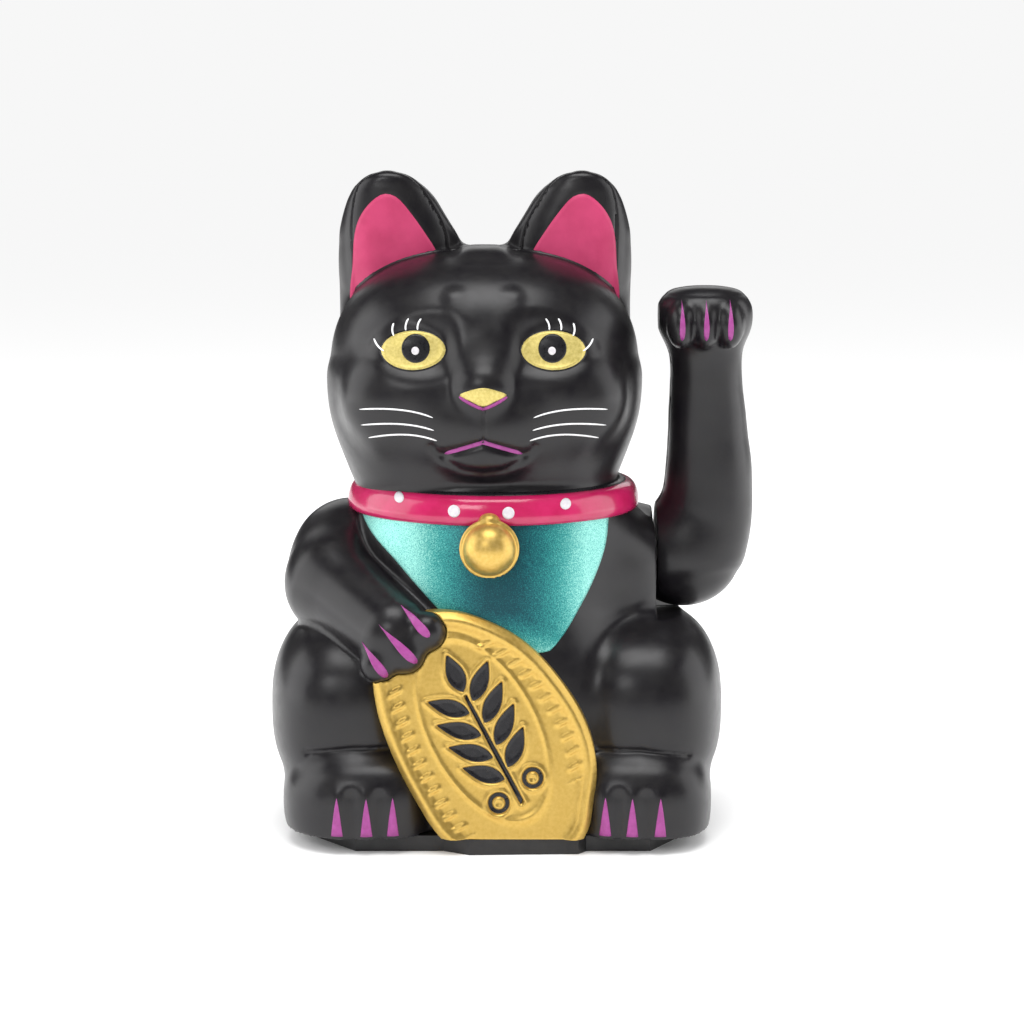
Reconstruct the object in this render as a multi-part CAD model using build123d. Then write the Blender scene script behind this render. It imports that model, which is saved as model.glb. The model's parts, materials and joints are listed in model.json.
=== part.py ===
from build123d import *
import math
import os

os.makedirs("parts", exist_ok=True)

# Beckoning cat figurine, millimetres. The cat faces -Y and +Z is up.
# The origin is the centre of the underside of the base plate.

# Overall sizes
HEIGHT = 150.0
PLATE_THICK = 3.5
SHELL_WALL = 1.8
ARM_WALL = 1.5
HEAD_X = -2.8          # the head sits slightly to one side of the base
HEAD_Y = -1.5

# Sections of the moulded body: height, half width, half depth, centre in Y
TORSO_SECTIONS = [
    (PLATE_THICK, 45.6, 40.0, 2.5),
    (14.0, 47.5, 41.0, 2.5),
    (30.0, 47.0, 40.5, 2.0),
    (46.0, 42.5, 37.5, 1.0),
    (60.0, 35.0, 33.0, 0.0),
    (72.0, 30.5, 29.5, -1.0),
    (80.0, 29.5, 28.0, -1.5),
]
HEAD_SECTIONS = [
    (75.0, 28.5, 26.5),
    (84.0, 33.2, 29.0),
    (94.0, 35.3, 30.5),
    (104.0, 35.9, 31.0),
    (114.0, 35.0, 30.0),
    (122.0, 31.0, 26.5),
    (128.0, 22.0, 19.0),
    (132.0, 7.0, 9.0),
]
# Ear: height, distance from the head's middle, half width, half depth
EAR_SECTIONS = [
    (112.0, 21.5, 13.0, 9.0),
    (125.0, 21.4, 14.1, 8.0),
    (136.0, 22.1, 13.2, 6.4),
    (144.0, 22.6, 10.0, 4.4),
    (HEIGHT, 22.8, 3.6, 1.8),
]
EAR_Y = 1.0

# Limbs moulded on the body
THIGH_CENTRE = (33.6, -6.0, 25.0)
THIGH_RADII = (19.0, 28.0, 22.0)
FOOT_CENTRE = (28.5, -26.5, 12.0)
FOOT_RADII = (12.4, 15.5, 10.2)
UPPER_ARM_CENTRE = (-35.5, -3.0, 57.0)
UPPER_ARM_RADII = (13.4, 18.0, 16.0)
ELBOW = (-37.5, -15.0, 52.0)
WRIST = (-22.0, -32.0, 41.0)
FOREARM_RADIUS = 9.0
TAIL_CENTRE = (-2.5, 40.0, 17.0)
TAIL_RADII = (6.8, 6.2, 15.5)
TAIL_LEAN = 30.0       # degrees, the tip leans to -X

# Coin, bell and collar moulded on the front shell
COIN_CENTRE = (-2.5, 22.5)
COIN_LONG = 33.0
COIN_SHORT = 20.5
COIN_LEAN = 28.0       # degrees, the top leans to -X
COIN_FRONT = -41.5
COIN_THICK = 8.0
BELL_CENTRE = (-1.5, -34.6, 67.3)
BELL_RADIUS = 6.4
COLLAR_LOW = 72.3
COLLAR_HIGH = 79.4
COLLAR_RADII = (32.8, 31.0)
COLLAR_CENTRE = (-0.8, -1.0)
KNOT_CENTRE = (-1.2, 28.5, 73.5)
KNOT_RADII = (18.0, 6.0, 7.2)

# Waving arm and its pivot
AXIS_Z = 59.4
SHOULDER_FACE = 36.3   # flat facet on the body
ARM_FACE = 36.8        # flat inner face of the arm
SHOULDER_RADIUS = 12.5
ARM_HUB_RADIUS = 11.8
ARM_HUB_DOME = 46.8     # the hub is a short cylinder up to here, then a dome
# Forearm: height, centre X, half width, centre Y, half depth
FOREARM_SECTIONS = [
    (56.0, 48.2, 9.8, 0.0, 11.0),
    (70.0, 49.3, 10.8, -0.5, 11.2),
    (84.0, 49.7, 9.9, -2.0, 10.2),
    (98.0, 49.3, 8.9, -4.0, 9.2),
    (107.0, 48.8, 8.5, -6.0, 8.6),
    (113.0, 48.4, 9.3, -7.5, 9.0),
]
PAW_CENTRE = (48.2, -8.5, 115.6)
PAW_RADII = (10.2, 11.0, 7.8)
AXLE_RADIUS = 1.0
AXLE_START = 1.5
AXLE_END = 45.0
AXLE_PLAY = 0.05
SOCKET_RADIUS = 3.2
SOCKET_END = 46.5
ARM_SEAM_LEAN = 8.0    # degrees, the arm's seam leans forward with the arm

# Mechanism on the base plate
FRAME_TOP = 6.0        # top of the frame's foot plate
EAR_THICK = 2.5
EAR_INNER = (6.5, 21.5)
LEVER_X = 14.0
LEVER_THICK = 2.4
LEVER_WIDTH = 6.0
LEVER_BOTTOM = 16.0
MAGNET_RADIUS = 5.0
MAGNET_THICK = 2.4
WEIGHT_SIZE = (5.0, 15.0, 21.0)
WEIGHT_Y = 1.82        # balances the arm, which reaches forward
WEIGHT_LOW = 19.5
BOBBIN_RADIUS = 7.2
BOBBIN_HEIGHT = 6.2
COIL_RADIUS = 6.6
CORE_RADIUS = 3.4
CLIP_RADIUS = 3.0
CLIP_THICK = 0.6

# Battery bay for one AA cell lying along Y
CELL_X = -17.0
CELL_Z = 10.2
CELL_RADIUS = 7.1
CELL_BACK = 25.2
CELL_LENGTH = 49.2
CELL_NUB = (2.7, 1.3)
BAY_HALF = 7.7
BAY_ENDS = (-25.8, 31.0)
BAY_WALL = 1.4
BAY_TOP = 18.4
DOOR_LIP = 1.6
DOOR_THICK = 1.8
DOOR_RECESS = 0.2
DOOR_PLAY = 0.2
CONTACT_THICK = 0.5

# Screws: shank radius, head radius, head height, length under the head
BASE_SCREW = (1.1, 2.4, 1.2, 9.0)
SMALL_SCREW = (0.8, 1.6, 0.9, 3.6)
BASE_SCREW_SPOTS = [(-36.0, -16.0), (35.5, -16.0), (-33.0, 25.0), (32.0, 25.5)]
FRAME_SCREW_SPOTS = [(0.5, -6.0), (0.5, 6.0), (28.0, -6.0), (28.0, 6.0)]
BOARD_SCREW_SPOTS = [(5.5, 29.0), (22.5, 29.0)]
BOARD_CENTRE = (14.0, 24.5)
BOARD_SIZE = (23.0, 14.0)
BOARD_LOW = 6.5
BOARD_THICK = 1.2
LEAD_RADIUS = 0.6

# Alignment pins between the two body shells: X and Z of each boss
SEAM_BOSSES = [(-47.6, 22.0), (47.6, 22.0), (HEAD_X - 32.5, 104.0), (HEAD_X + 32.5, 104.0)]
SEAM_BOSS_RADIUS = 3.0
SEAM_BOSS_DEPTH = 5.0
PIN_RADIUS = 1.2


def save(shape, node):
    """Write one sub-part as a STEP file."""
    export_step(shape, "parts/" + node + ".step")


def ellipsoid(centre, radii, shrink=0.0):
    """An ellipsoid, smaller all round by shrink."""
    return Pos(*centre) * scale(Sphere(1.0), by=tuple(r - shrink for r in radii))


def box(low, high):
    """An upright box between two corners."""
    size = [b - a for a, b in zip(low, high)]
    middle = [(a + b) / 2 for a, b in zip(low, high)]
    return Pos(*middle) * Box(*size)


def rod_x(radius, x0, x1, y=0.0, z=AXIS_Z):
    """A round bar along X."""
    return Pos((x0 + x1) / 2, y, z) * Rot(0, 90, 0) * Cylinder(radius, x1 - x0)


def rod_y(radius, y0, y1, x, z):
    """A round bar along Y."""
    return Pos(x, (y0 + y1) / 2, z) * Rot(90, 0, 0) * Cylinder(radius, y1 - y0)


def rod_z(radius, z0, z1, x, y):
    """A round bar along Z."""
    return Pos(x, y, (z0 + z1) / 2) * Cylinder(radius, z1 - z0)


def mirror_x(point, side):
    """The same point on the chosen side of the cat."""
    return (side * point[0], point[1], point[2])


def front_of(y):
    """Half space in front of a plane across Y."""
    return box((-100, -100, -20), (100, y, 200))


def back_of(y):
    """Half space behind a plane across Y."""
    return box((-100, y, -20), (100, 100, 200))


# ---------------------------------------------------------------- body shells

def torso(shrink):
    """Pear-shaped body, from the base plate to the neck."""
    rings = [Pos(0, cy, z) * Ellipse(rx - shrink, ry - shrink) for z, rx, ry, cy in TORSO_SECTIONS]
    return loft(rings)


def head(shrink):
    """Broad head with a flat crown."""
    rings = []
    for z, rx, ry in HEAD_SECTIONS:
        top = z - shrink if z > 120 else z
        rings.append(Pos(HEAD_X, HEAD_Y, top) * Ellipse(rx - shrink, ry - shrink))
    return loft(rings)


def ear(side, shrink):
    """One upright ear; the hollow one stops below the tip."""
    sections = EAR_SECTIONS if shrink == 0 else EAR_SECTIONS[:-1]
    rings = [Pos(HEAD_X + side * cx, EAR_Y, z) * Ellipse(rx - shrink, ry - shrink)
             for z, cx, rx, ry in sections]
    return loft(rings)


def body_volume(shrink):
    """The rounded masses that are hollow in the real moulding."""
    volume = torso(shrink)
    for side in (-1, 1):
        volume += ellipsoid(mirror_x(THIGH_CENTRE, side), THIGH_RADII, shrink)
    volume += ellipsoid(UPPER_ARM_CENTRE, UPPER_ARM_RADII, shrink)
    volume += head(shrink)
    for side in (-1, 1):
        volume += ear(side, shrink)
    return volume


def bent_forearm():
    """The resting forearm and paw that hold the coin."""
    start, end = Vector(*ELBOW), Vector(*WRIST)
    path = Plane(origin=start, z_dir=end - start)
    limb = path * Pos(0, 0, (end - start).length / 2) * Cylinder(FOREARM_RADIUS, (end - start).length)
    for joint in (ELBOW, WRIST):
        limb += Pos(*joint) * Sphere(FOREARM_RADIUS)
    return limb


def coin():
    """Oval coin held against the belly, cut off level by the base plate."""
    outline = Plane.XZ * Pos(*COIN_CENTRE) * Rot(0, 0, COIN_LEAN) * Ellipse(COIN_SHORT, COIN_LONG)
    slab = Pos(0, COIN_FRONT, 0) * extrude(outline, amount=-COIN_THICK)
    return slab & box((-60, -60, PLATE_THICK), (60, 0, 60))


def collar():
    """Flat band round the neck with the gathered knot behind."""
    band = extrude(Ellipse(*COLLAR_RADII), amount=COLLAR_HIGH - COLLAR_LOW)
    return Pos(*COLLAR_CENTRE, COLLAR_LOW) * band + ellipsoid(KNOT_CENTRE, KNOT_RADII)


def shoulder_boss(shrink):
    """Round shoulder that ends in the flat facet beside the waving arm."""
    return rod_x(SHOULDER_RADIUS - shrink, 10.0, SHOULDER_FACE - shrink)


def body_outside():
    """Everything the two body shells show on the outside."""
    shape = body_volume(0.0) + bent_forearm() + shoulder_boss(0.0)
    for side in (-1, 1):
        shape += ellipsoid(mirror_x(FOOT_CENTRE, side), FOOT_RADII)
    tail = Pos(*TAIL_CENTRE) * Rot(0, -TAIL_LEAN, 0) * scale(Sphere(1.0), by=TAIL_RADII)
    shape += tail
    shape += collar()
    shape += coin()
    shape += ellipsoid(BELL_CENTRE, (BELL_RADIUS,) * 3)
    clear_of_arm = box((SHOULDER_FACE, -60, AXIS_Z - 13.0), (80, 60, HEIGHT / 2 + 10))
    return (shape - clear_of_arm) & box((-80, -80, PLATE_THICK), (80, 80, HEIGHT))


def seam_bosses():
    """Four bosses across the seam, merged with the wall."""
    bosses = Part()
    for x, z in SEAM_BOSSES:
        bosses += rod_y(SEAM_BOSS_RADIUS, -SEAM_BOSS_DEPTH, SEAM_BOSS_DEPTH, x, z)
    return bosses


def base_bosses():
    """Upright bosses that take the base screws."""
    top = BASE_SCREW[3] + 5.0
    bosses = Part()
    for x, y in BASE_SCREW_SPOTS:
        out_x = math.copysign(5.0, x)
        bosses += rod_z(3.2, PLATE_THICK, top, x, y)
        bosses += box((min(x, x + out_x * 2), y - 1.0, PLATE_THICK), (max(x, x + out_x * 2), y + 1.0, top))
    return bosses


def build_shells():
    """Front and back shells, split on the plane of the waving arm's axis."""
    outside = body_outside()
    hollow = body_volume(SHELL_WALL) + shoulder_boss(SHELL_WALL)
    hollow &= box((-80, -80, PLATE_THICK - 1), (SHOULDER_FACE - SHELL_WALL, 80, HEIGHT)) + box(
        (SHOULDER_FACE - SHELL_WALL, -80, PLATE_THICK - 1), (80, 80, AXIS_Z - 13.0 - SHELL_WALL)) + box(
        (SHOULDER_FACE - SHELL_WALL, -80, HEIGHT / 2 + 10), (80, 80, HEIGHT))
    skin = outside - hollow
    skin += (seam_bosses() + base_bosses()) & outside
    for x, y in BASE_SCREW_SPOTS:
        skin -= rod_z(BASE_SCREW[0], PLATE_THICK, BASE_SCREW[3] + 3.0, x, y)
    skin -= rod_x(AXLE_RADIUS + 0.6, 30.0, SHOULDER_FACE + 1.0)
    front = skin & front_of(0.0)
    back = skin & back_of(0.0)
    for x, z in SEAM_BOSSES:
        front += rod_y(PIN_RADIUS, -1.0, 2.5, x, z)
        back -= rod_y(PIN_RADIUS + 0.1, -1.0, 3.0, x, z)
    return front, back


# ---------------------------------------------------------------- base plate and battery bay

def base_outline():
    """Plan of the base: flat facets in front, an ellipse behind and a nub under the tail."""
    front = make_face(Polyline(
        (-46.4, 0), (-44.5, -21), (-31.3, -38), (-11.6, -38), (-5.9, -41.6), (18.2, -40.6),
        (20, -38), (34.2, -38), (46.4, -17), (46.4, 0), close=True))
    back = Ellipse(46.4, 44.0) & Pos(0, 30) * Rectangle(100, 60)
    nub = Pos(3.2, 41) * RectangleRounded(14, 12, 3)
    return front + back + nub


def build_base_plate():
    """Base plate with the battery bay, the screw holes and two board posts."""
    plate = extrude(base_outline(), amount=PLATE_THICK)
    left, right = CELL_X - BAY_HALF, CELL_X + BAY_HALF
    low, high = BAY_ENDS
    plate += box((left - BAY_WALL, low - BAY_WALL, PLATE_THICK - 1), (right + BAY_WALL, high + BAY_WALL, BAY_TOP + BAY_WALL))
    plate -= box((left, low, -1), (right, high, BAY_TOP))
    recess_top = DOOR_RECESS + DOOR_THICK
    plate -= box((left - DOOR_LIP, low - DOOR_LIP, -1), (right + DOOR_LIP, high + DOOR_LIP, recess_top))
    for y in (low + 1.2, high - 1.2):
        plate -= box((CELL_X - 1.6, y - 1.25, BAY_TOP - 1), (CELL_X + 1.6, y + 1.25, BAY_TOP + BAY_WALL + 1))
    for x, y in BOARD_SCREW_SPOTS:
        plate += rod_z(2.2, PLATE_THICK - 1, BOARD_LOW, x, y)
    for x, y in BOARD_SCREW_SPOTS:
        plate -= rod_z(SMALL_SCREW[0], BOARD_LOW + BOARD_THICK - SMALL_SCREW[3], BOARD_LOW + 1, x, y)
    for x, y in FRAME_SCREW_SPOTS:
        plate -= rod_z(SMALL_SCREW[0], FRAME_TOP - SMALL_SCREW[3], FRAME_TOP, x, y)
    for x, y in BASE_SCREW_SPOTS:
        plate -= rod_z(BASE_SCREW[0] + 0.2, -1, PLATE_THICK + 1, x, y)
        plate -= rod_z(BASE_SCREW[1] + 0.2, -1, 1.7, x, y)
    return plate


def build_battery_door():
    """Flat door that closes the bay from below, with a finger scoop."""
    left, right = CELL_X - BAY_HALF - DOOR_LIP + DOOR_PLAY, CELL_X + BAY_HALF + DOOR_LIP - DOOR_PLAY
    low, high = BAY_ENDS[0] - DOOR_LIP + DOOR_PLAY, BAY_ENDS[1] + DOOR_LIP - DOOR_PLAY
    top = DOOR_RECESS + DOOR_THICK
    door = box((left, low, DOOR_RECESS), (right, high, top))
    scoop = rod_x(2.2, CELL_X - 4.0, CELL_X + 4.0, low + 4.0, DOOR_RECESS - 1.0)
    for step in range(4):
        y = low + 9.0 + 2.0 * step
        door -= box((CELL_X - 4.5, y, DOOR_RECESS - 1), (CELL_X + 4.5, y + 0.9, DOOR_RECESS + 0.4))
    return door - scoop


def build_battery_cell():
    """AA cell with its raised positive end towards the cat's front."""
    front = CELL_BACK - CELL_LENGTH
    cell = rod_y(CELL_RADIUS, front, CELL_BACK, CELL_X, CELL_Z)
    cell += rod_y(CELL_NUB[0], front - CELL_NUB[1], front, CELL_X, CELL_Z)
    return cell


def contact_plate(y_low):
    """Sprung steel plate with a solder tab that passes up through the bay's roof."""
    plate = box((CELL_X - 5.0, y_low, 4.0), (CELL_X + 5.0, y_low + CONTACT_THICK, BAY_TOP - 1.0))
    tab = box((CELL_X - 1.2, y_low, BAY_TOP - 2.0), (CELL_X + 1.2, y_low + CONTACT_THICK, BAY_TOP + BAY_WALL + 2.0))
    return plate + tab


def build_spring_contact():
    """Negative contact: plate and conical coil that presses the cell."""
    wire = 0.4
    reach = BAY_ENDS[1] - CONTACT_THICK - CELL_BACK
    coil_path = Helix(pitch=reach / 3.0, height=reach - 2 * wire, radius=4.2, cone_angle=-12)
    start = Plane(origin=coil_path @ 0, z_dir=coil_path % 0)
    coil = sweep(start * Circle(wire), path=coil_path)
    coil = Pos(CELL_X, BAY_ENDS[1] - CONTACT_THICK - wire + 0.1, CELL_Z) * Rot(90, 0, 0) * coil
    return contact_plate(BAY_ENDS[1] - CONTACT_THICK) + coil


# ---------------------------------------------------------------- mechanism

def build_frame():
    """Moulded foot plate with two ears that carry the axle."""
    frame = box((-2.5, -9, PLATE_THICK), (31, 9, FRAME_TOP))
    for inner, out in ((EAR_INNER[0], -EAR_THICK), (EAR_INNER[1], EAR_THICK)):
        x0, x1 = min(inner, inner + out), max(inner, inner + out)
        side = make_face(Polyline((-8.5, FRAME_TOP - 1), (8.5, FRAME_TOP - 1), (4.4, AXIS_Z), (-4.4, AXIS_Z), close=True))
        cheek = extrude(Plane(origin=(x0, 0, 0), x_dir=(0, 1, 0), z_dir=(1, 0, 0)) * side, amount=x1 - x0)
        frame += cheek + rod_x(4.4, x0, x1)
        window = make_face(Polyline((-5.2, 11), (5.2, 11), (2.6, AXIS_Z - 10), (-2.6, AXIS_Z - 10), close=True))
        frame -= extrude(Plane(origin=(x0 - 1, 0, 0), x_dir=(0, 1, 0), z_dir=(1, 0, 0)) * window, amount=EAR_THICK + 2)
        frame -= rod_x(AXLE_RADIUS + AXLE_PLAY, x0 - 1, x1 + 1)
    for x, y in FRAME_SCREW_SPOTS:
        frame -= rod_z(SMALL_SCREW[0], PLATE_THICK - 1, FRAME_TOP + 1, x, y)
    return frame


def build_axle():
    """Steel wire axle that joins the waving arm to the pendulum."""
    return rod_x(AXLE_RADIUS, AXLE_START, AXLE_END)


def build_axle_clip():
    """Push-on washer that stops the axle sliding out of the frame."""
    x = EAR_INNER[0] - EAR_THICK - 0.3
    return rod_x(CLIP_RADIUS, x - CLIP_THICK, x) - rod_x(AXLE_RADIUS, x - 2, x + 1)


def build_lever():
    """Pendulum lever: hub on the axle, flat bar, two rivet studs and the magnet seat."""
    x0, x1 = LEVER_X - LEVER_THICK / 2, LEVER_X + LEVER_THICK / 2
    lever = rod_x(3.4, LEVER_X - 3.0, LEVER_X + 3.0)
    lever += box((x0, -LEVER_WIDTH / 2, LEVER_BOTTOM), (x1, LEVER_WIDTH / 2, AXIS_Z))
    lever += rod_z(MAGNET_RADIUS + 0.6, LEVER_BOTTOM, LEVER_BOTTOM + 1.6, LEVER_X, 0)
    for z in stud_heights():
        lever += rod_x(1.2, x1 - 0.5, x1 + WEIGHT_SIZE[0] + 0.4, 0, z)
    return lever - rod_x(AXLE_RADIUS, 0, 30)


def stud_heights():
    """Heights of the two studs that hold the balance weight."""
    return (WEIGHT_LOW + WEIGHT_SIZE[2] * 0.25, WEIGHT_LOW + WEIGHT_SIZE[2] * 0.75)


def build_weight():
    """Steel balance weight, set slightly back to balance the arm."""
    x0 = LEVER_X + LEVER_THICK / 2
    half = WEIGHT_SIZE[1] / 2
    block = box((x0, WEIGHT_Y - half, WEIGHT_LOW), (x0 + WEIGHT_SIZE[0], WEIGHT_Y + half, WEIGHT_LOW + WEIGHT_SIZE[2]))
    for z in stud_heights():
        block -= rod_x(1.2, x0 - 1, x0 + WEIGHT_SIZE[0] + 1, 0, z)
    return block


def build_magnet():
    """Disc magnet that swings over the coil."""
    return rod_z(MAGNET_RADIUS, LEVER_BOTTOM - MAGNET_THICK, LEVER_BOTTOM, LEVER_X, 0)


def build_bobbin():
    """Flanged bobbin with a hollow core."""
    top = FRAME_TOP + BOBBIN_HEIGHT
    bobbin = rod_z(CORE_RADIUS, FRAME_TOP, top, LEVER_X, 0)
    bobbin += rod_z(BOBBIN_RADIUS, FRAME_TOP, FRAME_TOP + 0.9, LEVER_X, 0)
    bobbin += rod_z(BOBBIN_RADIUS, top - 0.9, top, LEVER_X, 0)
    return bobbin - rod_z(1.8, FRAME_TOP - 1, top + 1, LEVER_X, 0)


def build_coil():
    """Copper winding with its two ends on the board."""
    low, high = FRAME_TOP + 0.9, FRAME_TOP + BOBBIN_HEIGHT - 0.9
    coil = rod_z(COIL_RADIUS, low, high, LEVER_X, 0) - rod_z(CORE_RADIUS, low - 1, high + 1, LEVER_X, 0)
    board_top = BOARD_LOW + BOARD_THICK
    for side in (-1, 1):
        coil += rod_y(0.35, 5.5, BOARD_CENTRE[1] - BOARD_SIZE[1] / 2 + 1.5, LEVER_X + side * 2.0, board_top + 0.35)
    return coil


def build_board():
    """Small circuit board on two posts behind the coil."""
    hx, hy = BOARD_SIZE[0] / 2, BOARD_SIZE[1] / 2
    x, y = BOARD_CENTRE
    board = box((x - hx, y - hy, BOARD_LOW), (x + hx, y + hy, BOARD_LOW + BOARD_THICK))
    for sx, sy in BOARD_SCREW_SPOTS:
        board -= rod_z(SMALL_SCREW[0], BOARD_LOW - 1, BOARD_LOW + BOARD_THICK + 1, sx, sy)
    return board


def build_chip():
    """Driver chip with its row of legs on each side."""
    top = BOARD_LOW + BOARD_THICK
    x, y = 14.0, 24.0
    chip = box((x - 2.6, y - 1.9, top), (x + 2.6, y + 1.9, top + 1.5))
    for index in range(4):
        px = x - 1.9 + 1.27 * index
        chip += box((px - 0.2, y - 2.9, top), (px + 0.2, y + 2.9, top + 0.5))
    return chip


def build_capacitor():
    """Upright electrolytic capacitor."""
    top = BOARD_LOW + BOARD_THICK
    return rod_z(2.0, top, top + 5.0, 14.0, 29.0)


def build_lead(y_tab, x_run, x_end):
    """Insulated wire from a contact tab, over the bay's roof, to the board."""
    high = BAY_TOP + BAY_WALL + LEAD_RADIUS + 0.4
    board_top = BOARD_LOW + BOARD_THICK
    y_end = BOARD_CENTRE[1] - 1.0
    points = [(CELL_X + 1.2, y_tab, high), (x_run, y_tab, high), (x_run, y_end, high),
              (x_end, y_end, high), (x_end, y_end, board_top)]
    if abs(y_tab - y_end) < 8:
        points = [points[0], (x_end, y_tab, high), (x_end, y_tab, board_top)]
    path = FilletPolyline(*points, radius=1.6)
    start = Plane(origin=path @ 0, z_dir=path % 0)
    return sweep(start * Circle(LEAD_RADIUS), path=path)


# ---------------------------------------------------------------- waving arm

def arm_hub(shrink):
    """Round hub with a flat inner face and a domed outer side."""
    radius = ARM_HUB_RADIUS - shrink
    start = ARM_FACE + shrink
    rim = Polyline((start, 0), (start, radius), (ARM_HUB_DOME, radius))
    dome = CenterArc((ARM_HUB_DOME, 0), radius, 90, -90)
    profile = make_face(rim + dome + Line((ARM_HUB_DOME + radius, 0), (start, 0)))
    return Pos(0, 0, AXIS_Z) * revolve(profile, axis=Axis.X)


def arm_volume(shrink):
    """Forearm, paw and rounded hub of the waving arm."""
    rings = [Pos(cx, cy, z) * Ellipse(rx - shrink, ry - shrink) for z, cx, rx, cy, ry in FOREARM_SECTIONS]
    arm = loft(rings) + ellipsoid(PAW_CENTRE, PAW_RADII, shrink)
    arm += arm_hub(shrink)
    return arm & box((ARM_FACE + shrink, -60, 0), (80, 60, HEIGHT))


def build_arm_halves():
    """Hollow arm in two halves that clamp the axle in a round socket."""
    arm = arm_volume(0.0) - arm_volume(ARM_WALL)
    arm += rod_x(SOCKET_RADIUS, ARM_FACE, SOCKET_END)
    arm -= rod_x(AXLE_RADIUS, ARM_FACE - 1, AXLE_END)
    seam = Pos(0, 0, AXIS_Z) * Rot(ARM_SEAM_LEAN, 0, 0)
    front_side = seam * box((0, -100, -100), (100, 0, 100))
    back_side = seam * box((0, 0, -100), (100, 100, 100))
    return arm & front_side, arm & back_side


# ---------------------------------------------------------------- screws

def screw_up(x, y, sizes, seat):
    """Screw driven upwards; the head's top face is at the seat."""
    shank, head_r, head_h, length = sizes
    screw = rod_z(shank, seat, seat + length, x, y) + rod_z(head_r, seat - head_h, seat, x, y)
    return screw - box((x - 1.6, y - 0.25, seat - head_h - 1), (x + 1.6, y + 0.25, seat - head_h + 0.5))


def screw_down(x, y, sizes, seat):
    """Screw driven downwards; the head rests on the seat."""
    shank, head_r, head_h, length = sizes
    screw = rod_z(shank, seat - length, seat, x, y) + rod_z(head_r, seat, seat + head_h, x, y)
    return screw - box((x - 1.1, y - 0.2, seat + head_h - 0.4), (x + 1.1, y + 0.2, seat + head_h + 1))


def gather(shapes):
    """One node from several equal loose pieces."""
    return Compound(children=[solid for shape in shapes for solid in shape.solids()])


# ---------------------------------------------------------------- write every sub-part

front_shell, back_shell = build_shells()
arm_front_half, arm_back_half = build_arm_halves()
save(front_shell, "front_shell")
save(back_shell, "back_shell")
save(arm_front_half, "arm_front_half")
save(arm_back_half, "arm_back_half")
save(build_base_plate(), "base_plate")
save(build_battery_door(), "battery_door")
save(build_battery_cell(), "battery_cell")
save(build_spring_contact(), "battery_spring_contact")
save(contact_plate(BAY_ENDS[0]), "battery_plate_contact")
save(build_frame(), "mechanism_frame")
save(build_axle(), "axle")
save(build_axle_clip(), "axle_clip")
save(build_lever(), "pendulum_lever")
save(build_weight(), "balance_weight")
save(build_magnet(), "magnet")
save(build_bobbin(), "coil_bobbin")
save(build_coil(), "drive_coil")
save(build_board(), "circuit_board")
save(build_chip(), "driver_chip")
save(build_capacitor(), "capacitor")
save(build_lead(BAY_ENDS[1] - CONTACT_THICK / 2, CELL_X + 4.0, 7.0), "lead_red")
save(build_lead(BAY_ENDS[0] + CONTACT_THICK / 2, CELL_X + 4.0, 4.5), "lead_black")
save(gather(screw_up(x, y, BASE_SCREW, 1.7) for x, y in BASE_SCREW_SPOTS), "base_screws")
save(gather(screw_down(x, y, SMALL_SCREW, FRAME_TOP) for x, y in FRAME_SCREW_SPOTS), "frame_screws")
board_top = BOARD_LOW + BOARD_THICK
save(gather(screw_down(x, y, SMALL_SCREW, board_top) for x, y in BOARD_SCREW_SPOTS), "board_screws")
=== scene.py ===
import json
import math

import bpy
import numpy as np
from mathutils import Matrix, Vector


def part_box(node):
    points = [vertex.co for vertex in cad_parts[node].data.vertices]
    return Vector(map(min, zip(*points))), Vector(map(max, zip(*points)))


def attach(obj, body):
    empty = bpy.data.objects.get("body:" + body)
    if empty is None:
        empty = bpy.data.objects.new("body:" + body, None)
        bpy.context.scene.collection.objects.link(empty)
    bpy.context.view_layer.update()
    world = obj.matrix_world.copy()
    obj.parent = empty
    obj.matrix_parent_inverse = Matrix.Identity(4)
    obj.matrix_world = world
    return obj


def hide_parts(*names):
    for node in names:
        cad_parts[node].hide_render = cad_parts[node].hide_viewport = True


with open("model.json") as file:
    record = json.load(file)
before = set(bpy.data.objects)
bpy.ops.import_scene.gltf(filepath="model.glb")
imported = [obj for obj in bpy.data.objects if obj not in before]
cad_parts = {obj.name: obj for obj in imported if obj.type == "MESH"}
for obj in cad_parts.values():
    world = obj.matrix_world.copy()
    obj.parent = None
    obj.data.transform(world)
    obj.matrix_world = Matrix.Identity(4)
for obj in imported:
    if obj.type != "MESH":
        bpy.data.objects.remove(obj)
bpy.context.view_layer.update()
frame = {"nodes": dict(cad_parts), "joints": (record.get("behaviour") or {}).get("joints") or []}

# Lengths in this script are millimetres in the shape code and metres in the finished meshes.
MM = 0.001
PER_METRE = 1000
AXIS_Z = PER_METRE * frame["joints"][0]["pos_m"][2]
PLATE_TOP = 3.5         # top of the base plate
PLATE_GAP = 0.05        # between the plate and what stands on it
WALL = 1.8
ARM_WALL = 1.5
HEAD_X = -2.8           # the head sits slightly to one side of the base
SHOULDER_FACE = 36.4    # flat facet beside the waving arm
AXLE_HOLE = 1.6         # radius of the axle's hole in the body
AXLE_HOLE_START = 30.0
ARM_FACE = 36.9         # flat inner face of the waving arm
ARM_GAP_LOW = 48.9      # the haunch stays below the moving arm
ARM_LEAN = math.radians(8.0)
SOCKET_RADIUS = 3.2     # boss inside the arm that grips the axle
SOCKET_END = 46.5
AXLE_RADIUS = 1.0
AXLE_END = 45.0
BOSS_RADIUS = 3.0       # bosses that take the base screws
BOSS_TOP = 12.0
BODY = "cat_body"
ARM = "waving_arm"
SIDES = ((-1, "right"), (1, "left"))        # the cat's own right is at -X
SEAM_GAP = 0.08         # half the width of the seam between two mouldings
STEP_BODY = 0.62
STEP_ARM = 0.5
STEP_COIN = 0.32
STEP_COLLAR = 0.5
STEP_COLLAR_EDGE = 0.6
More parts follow.
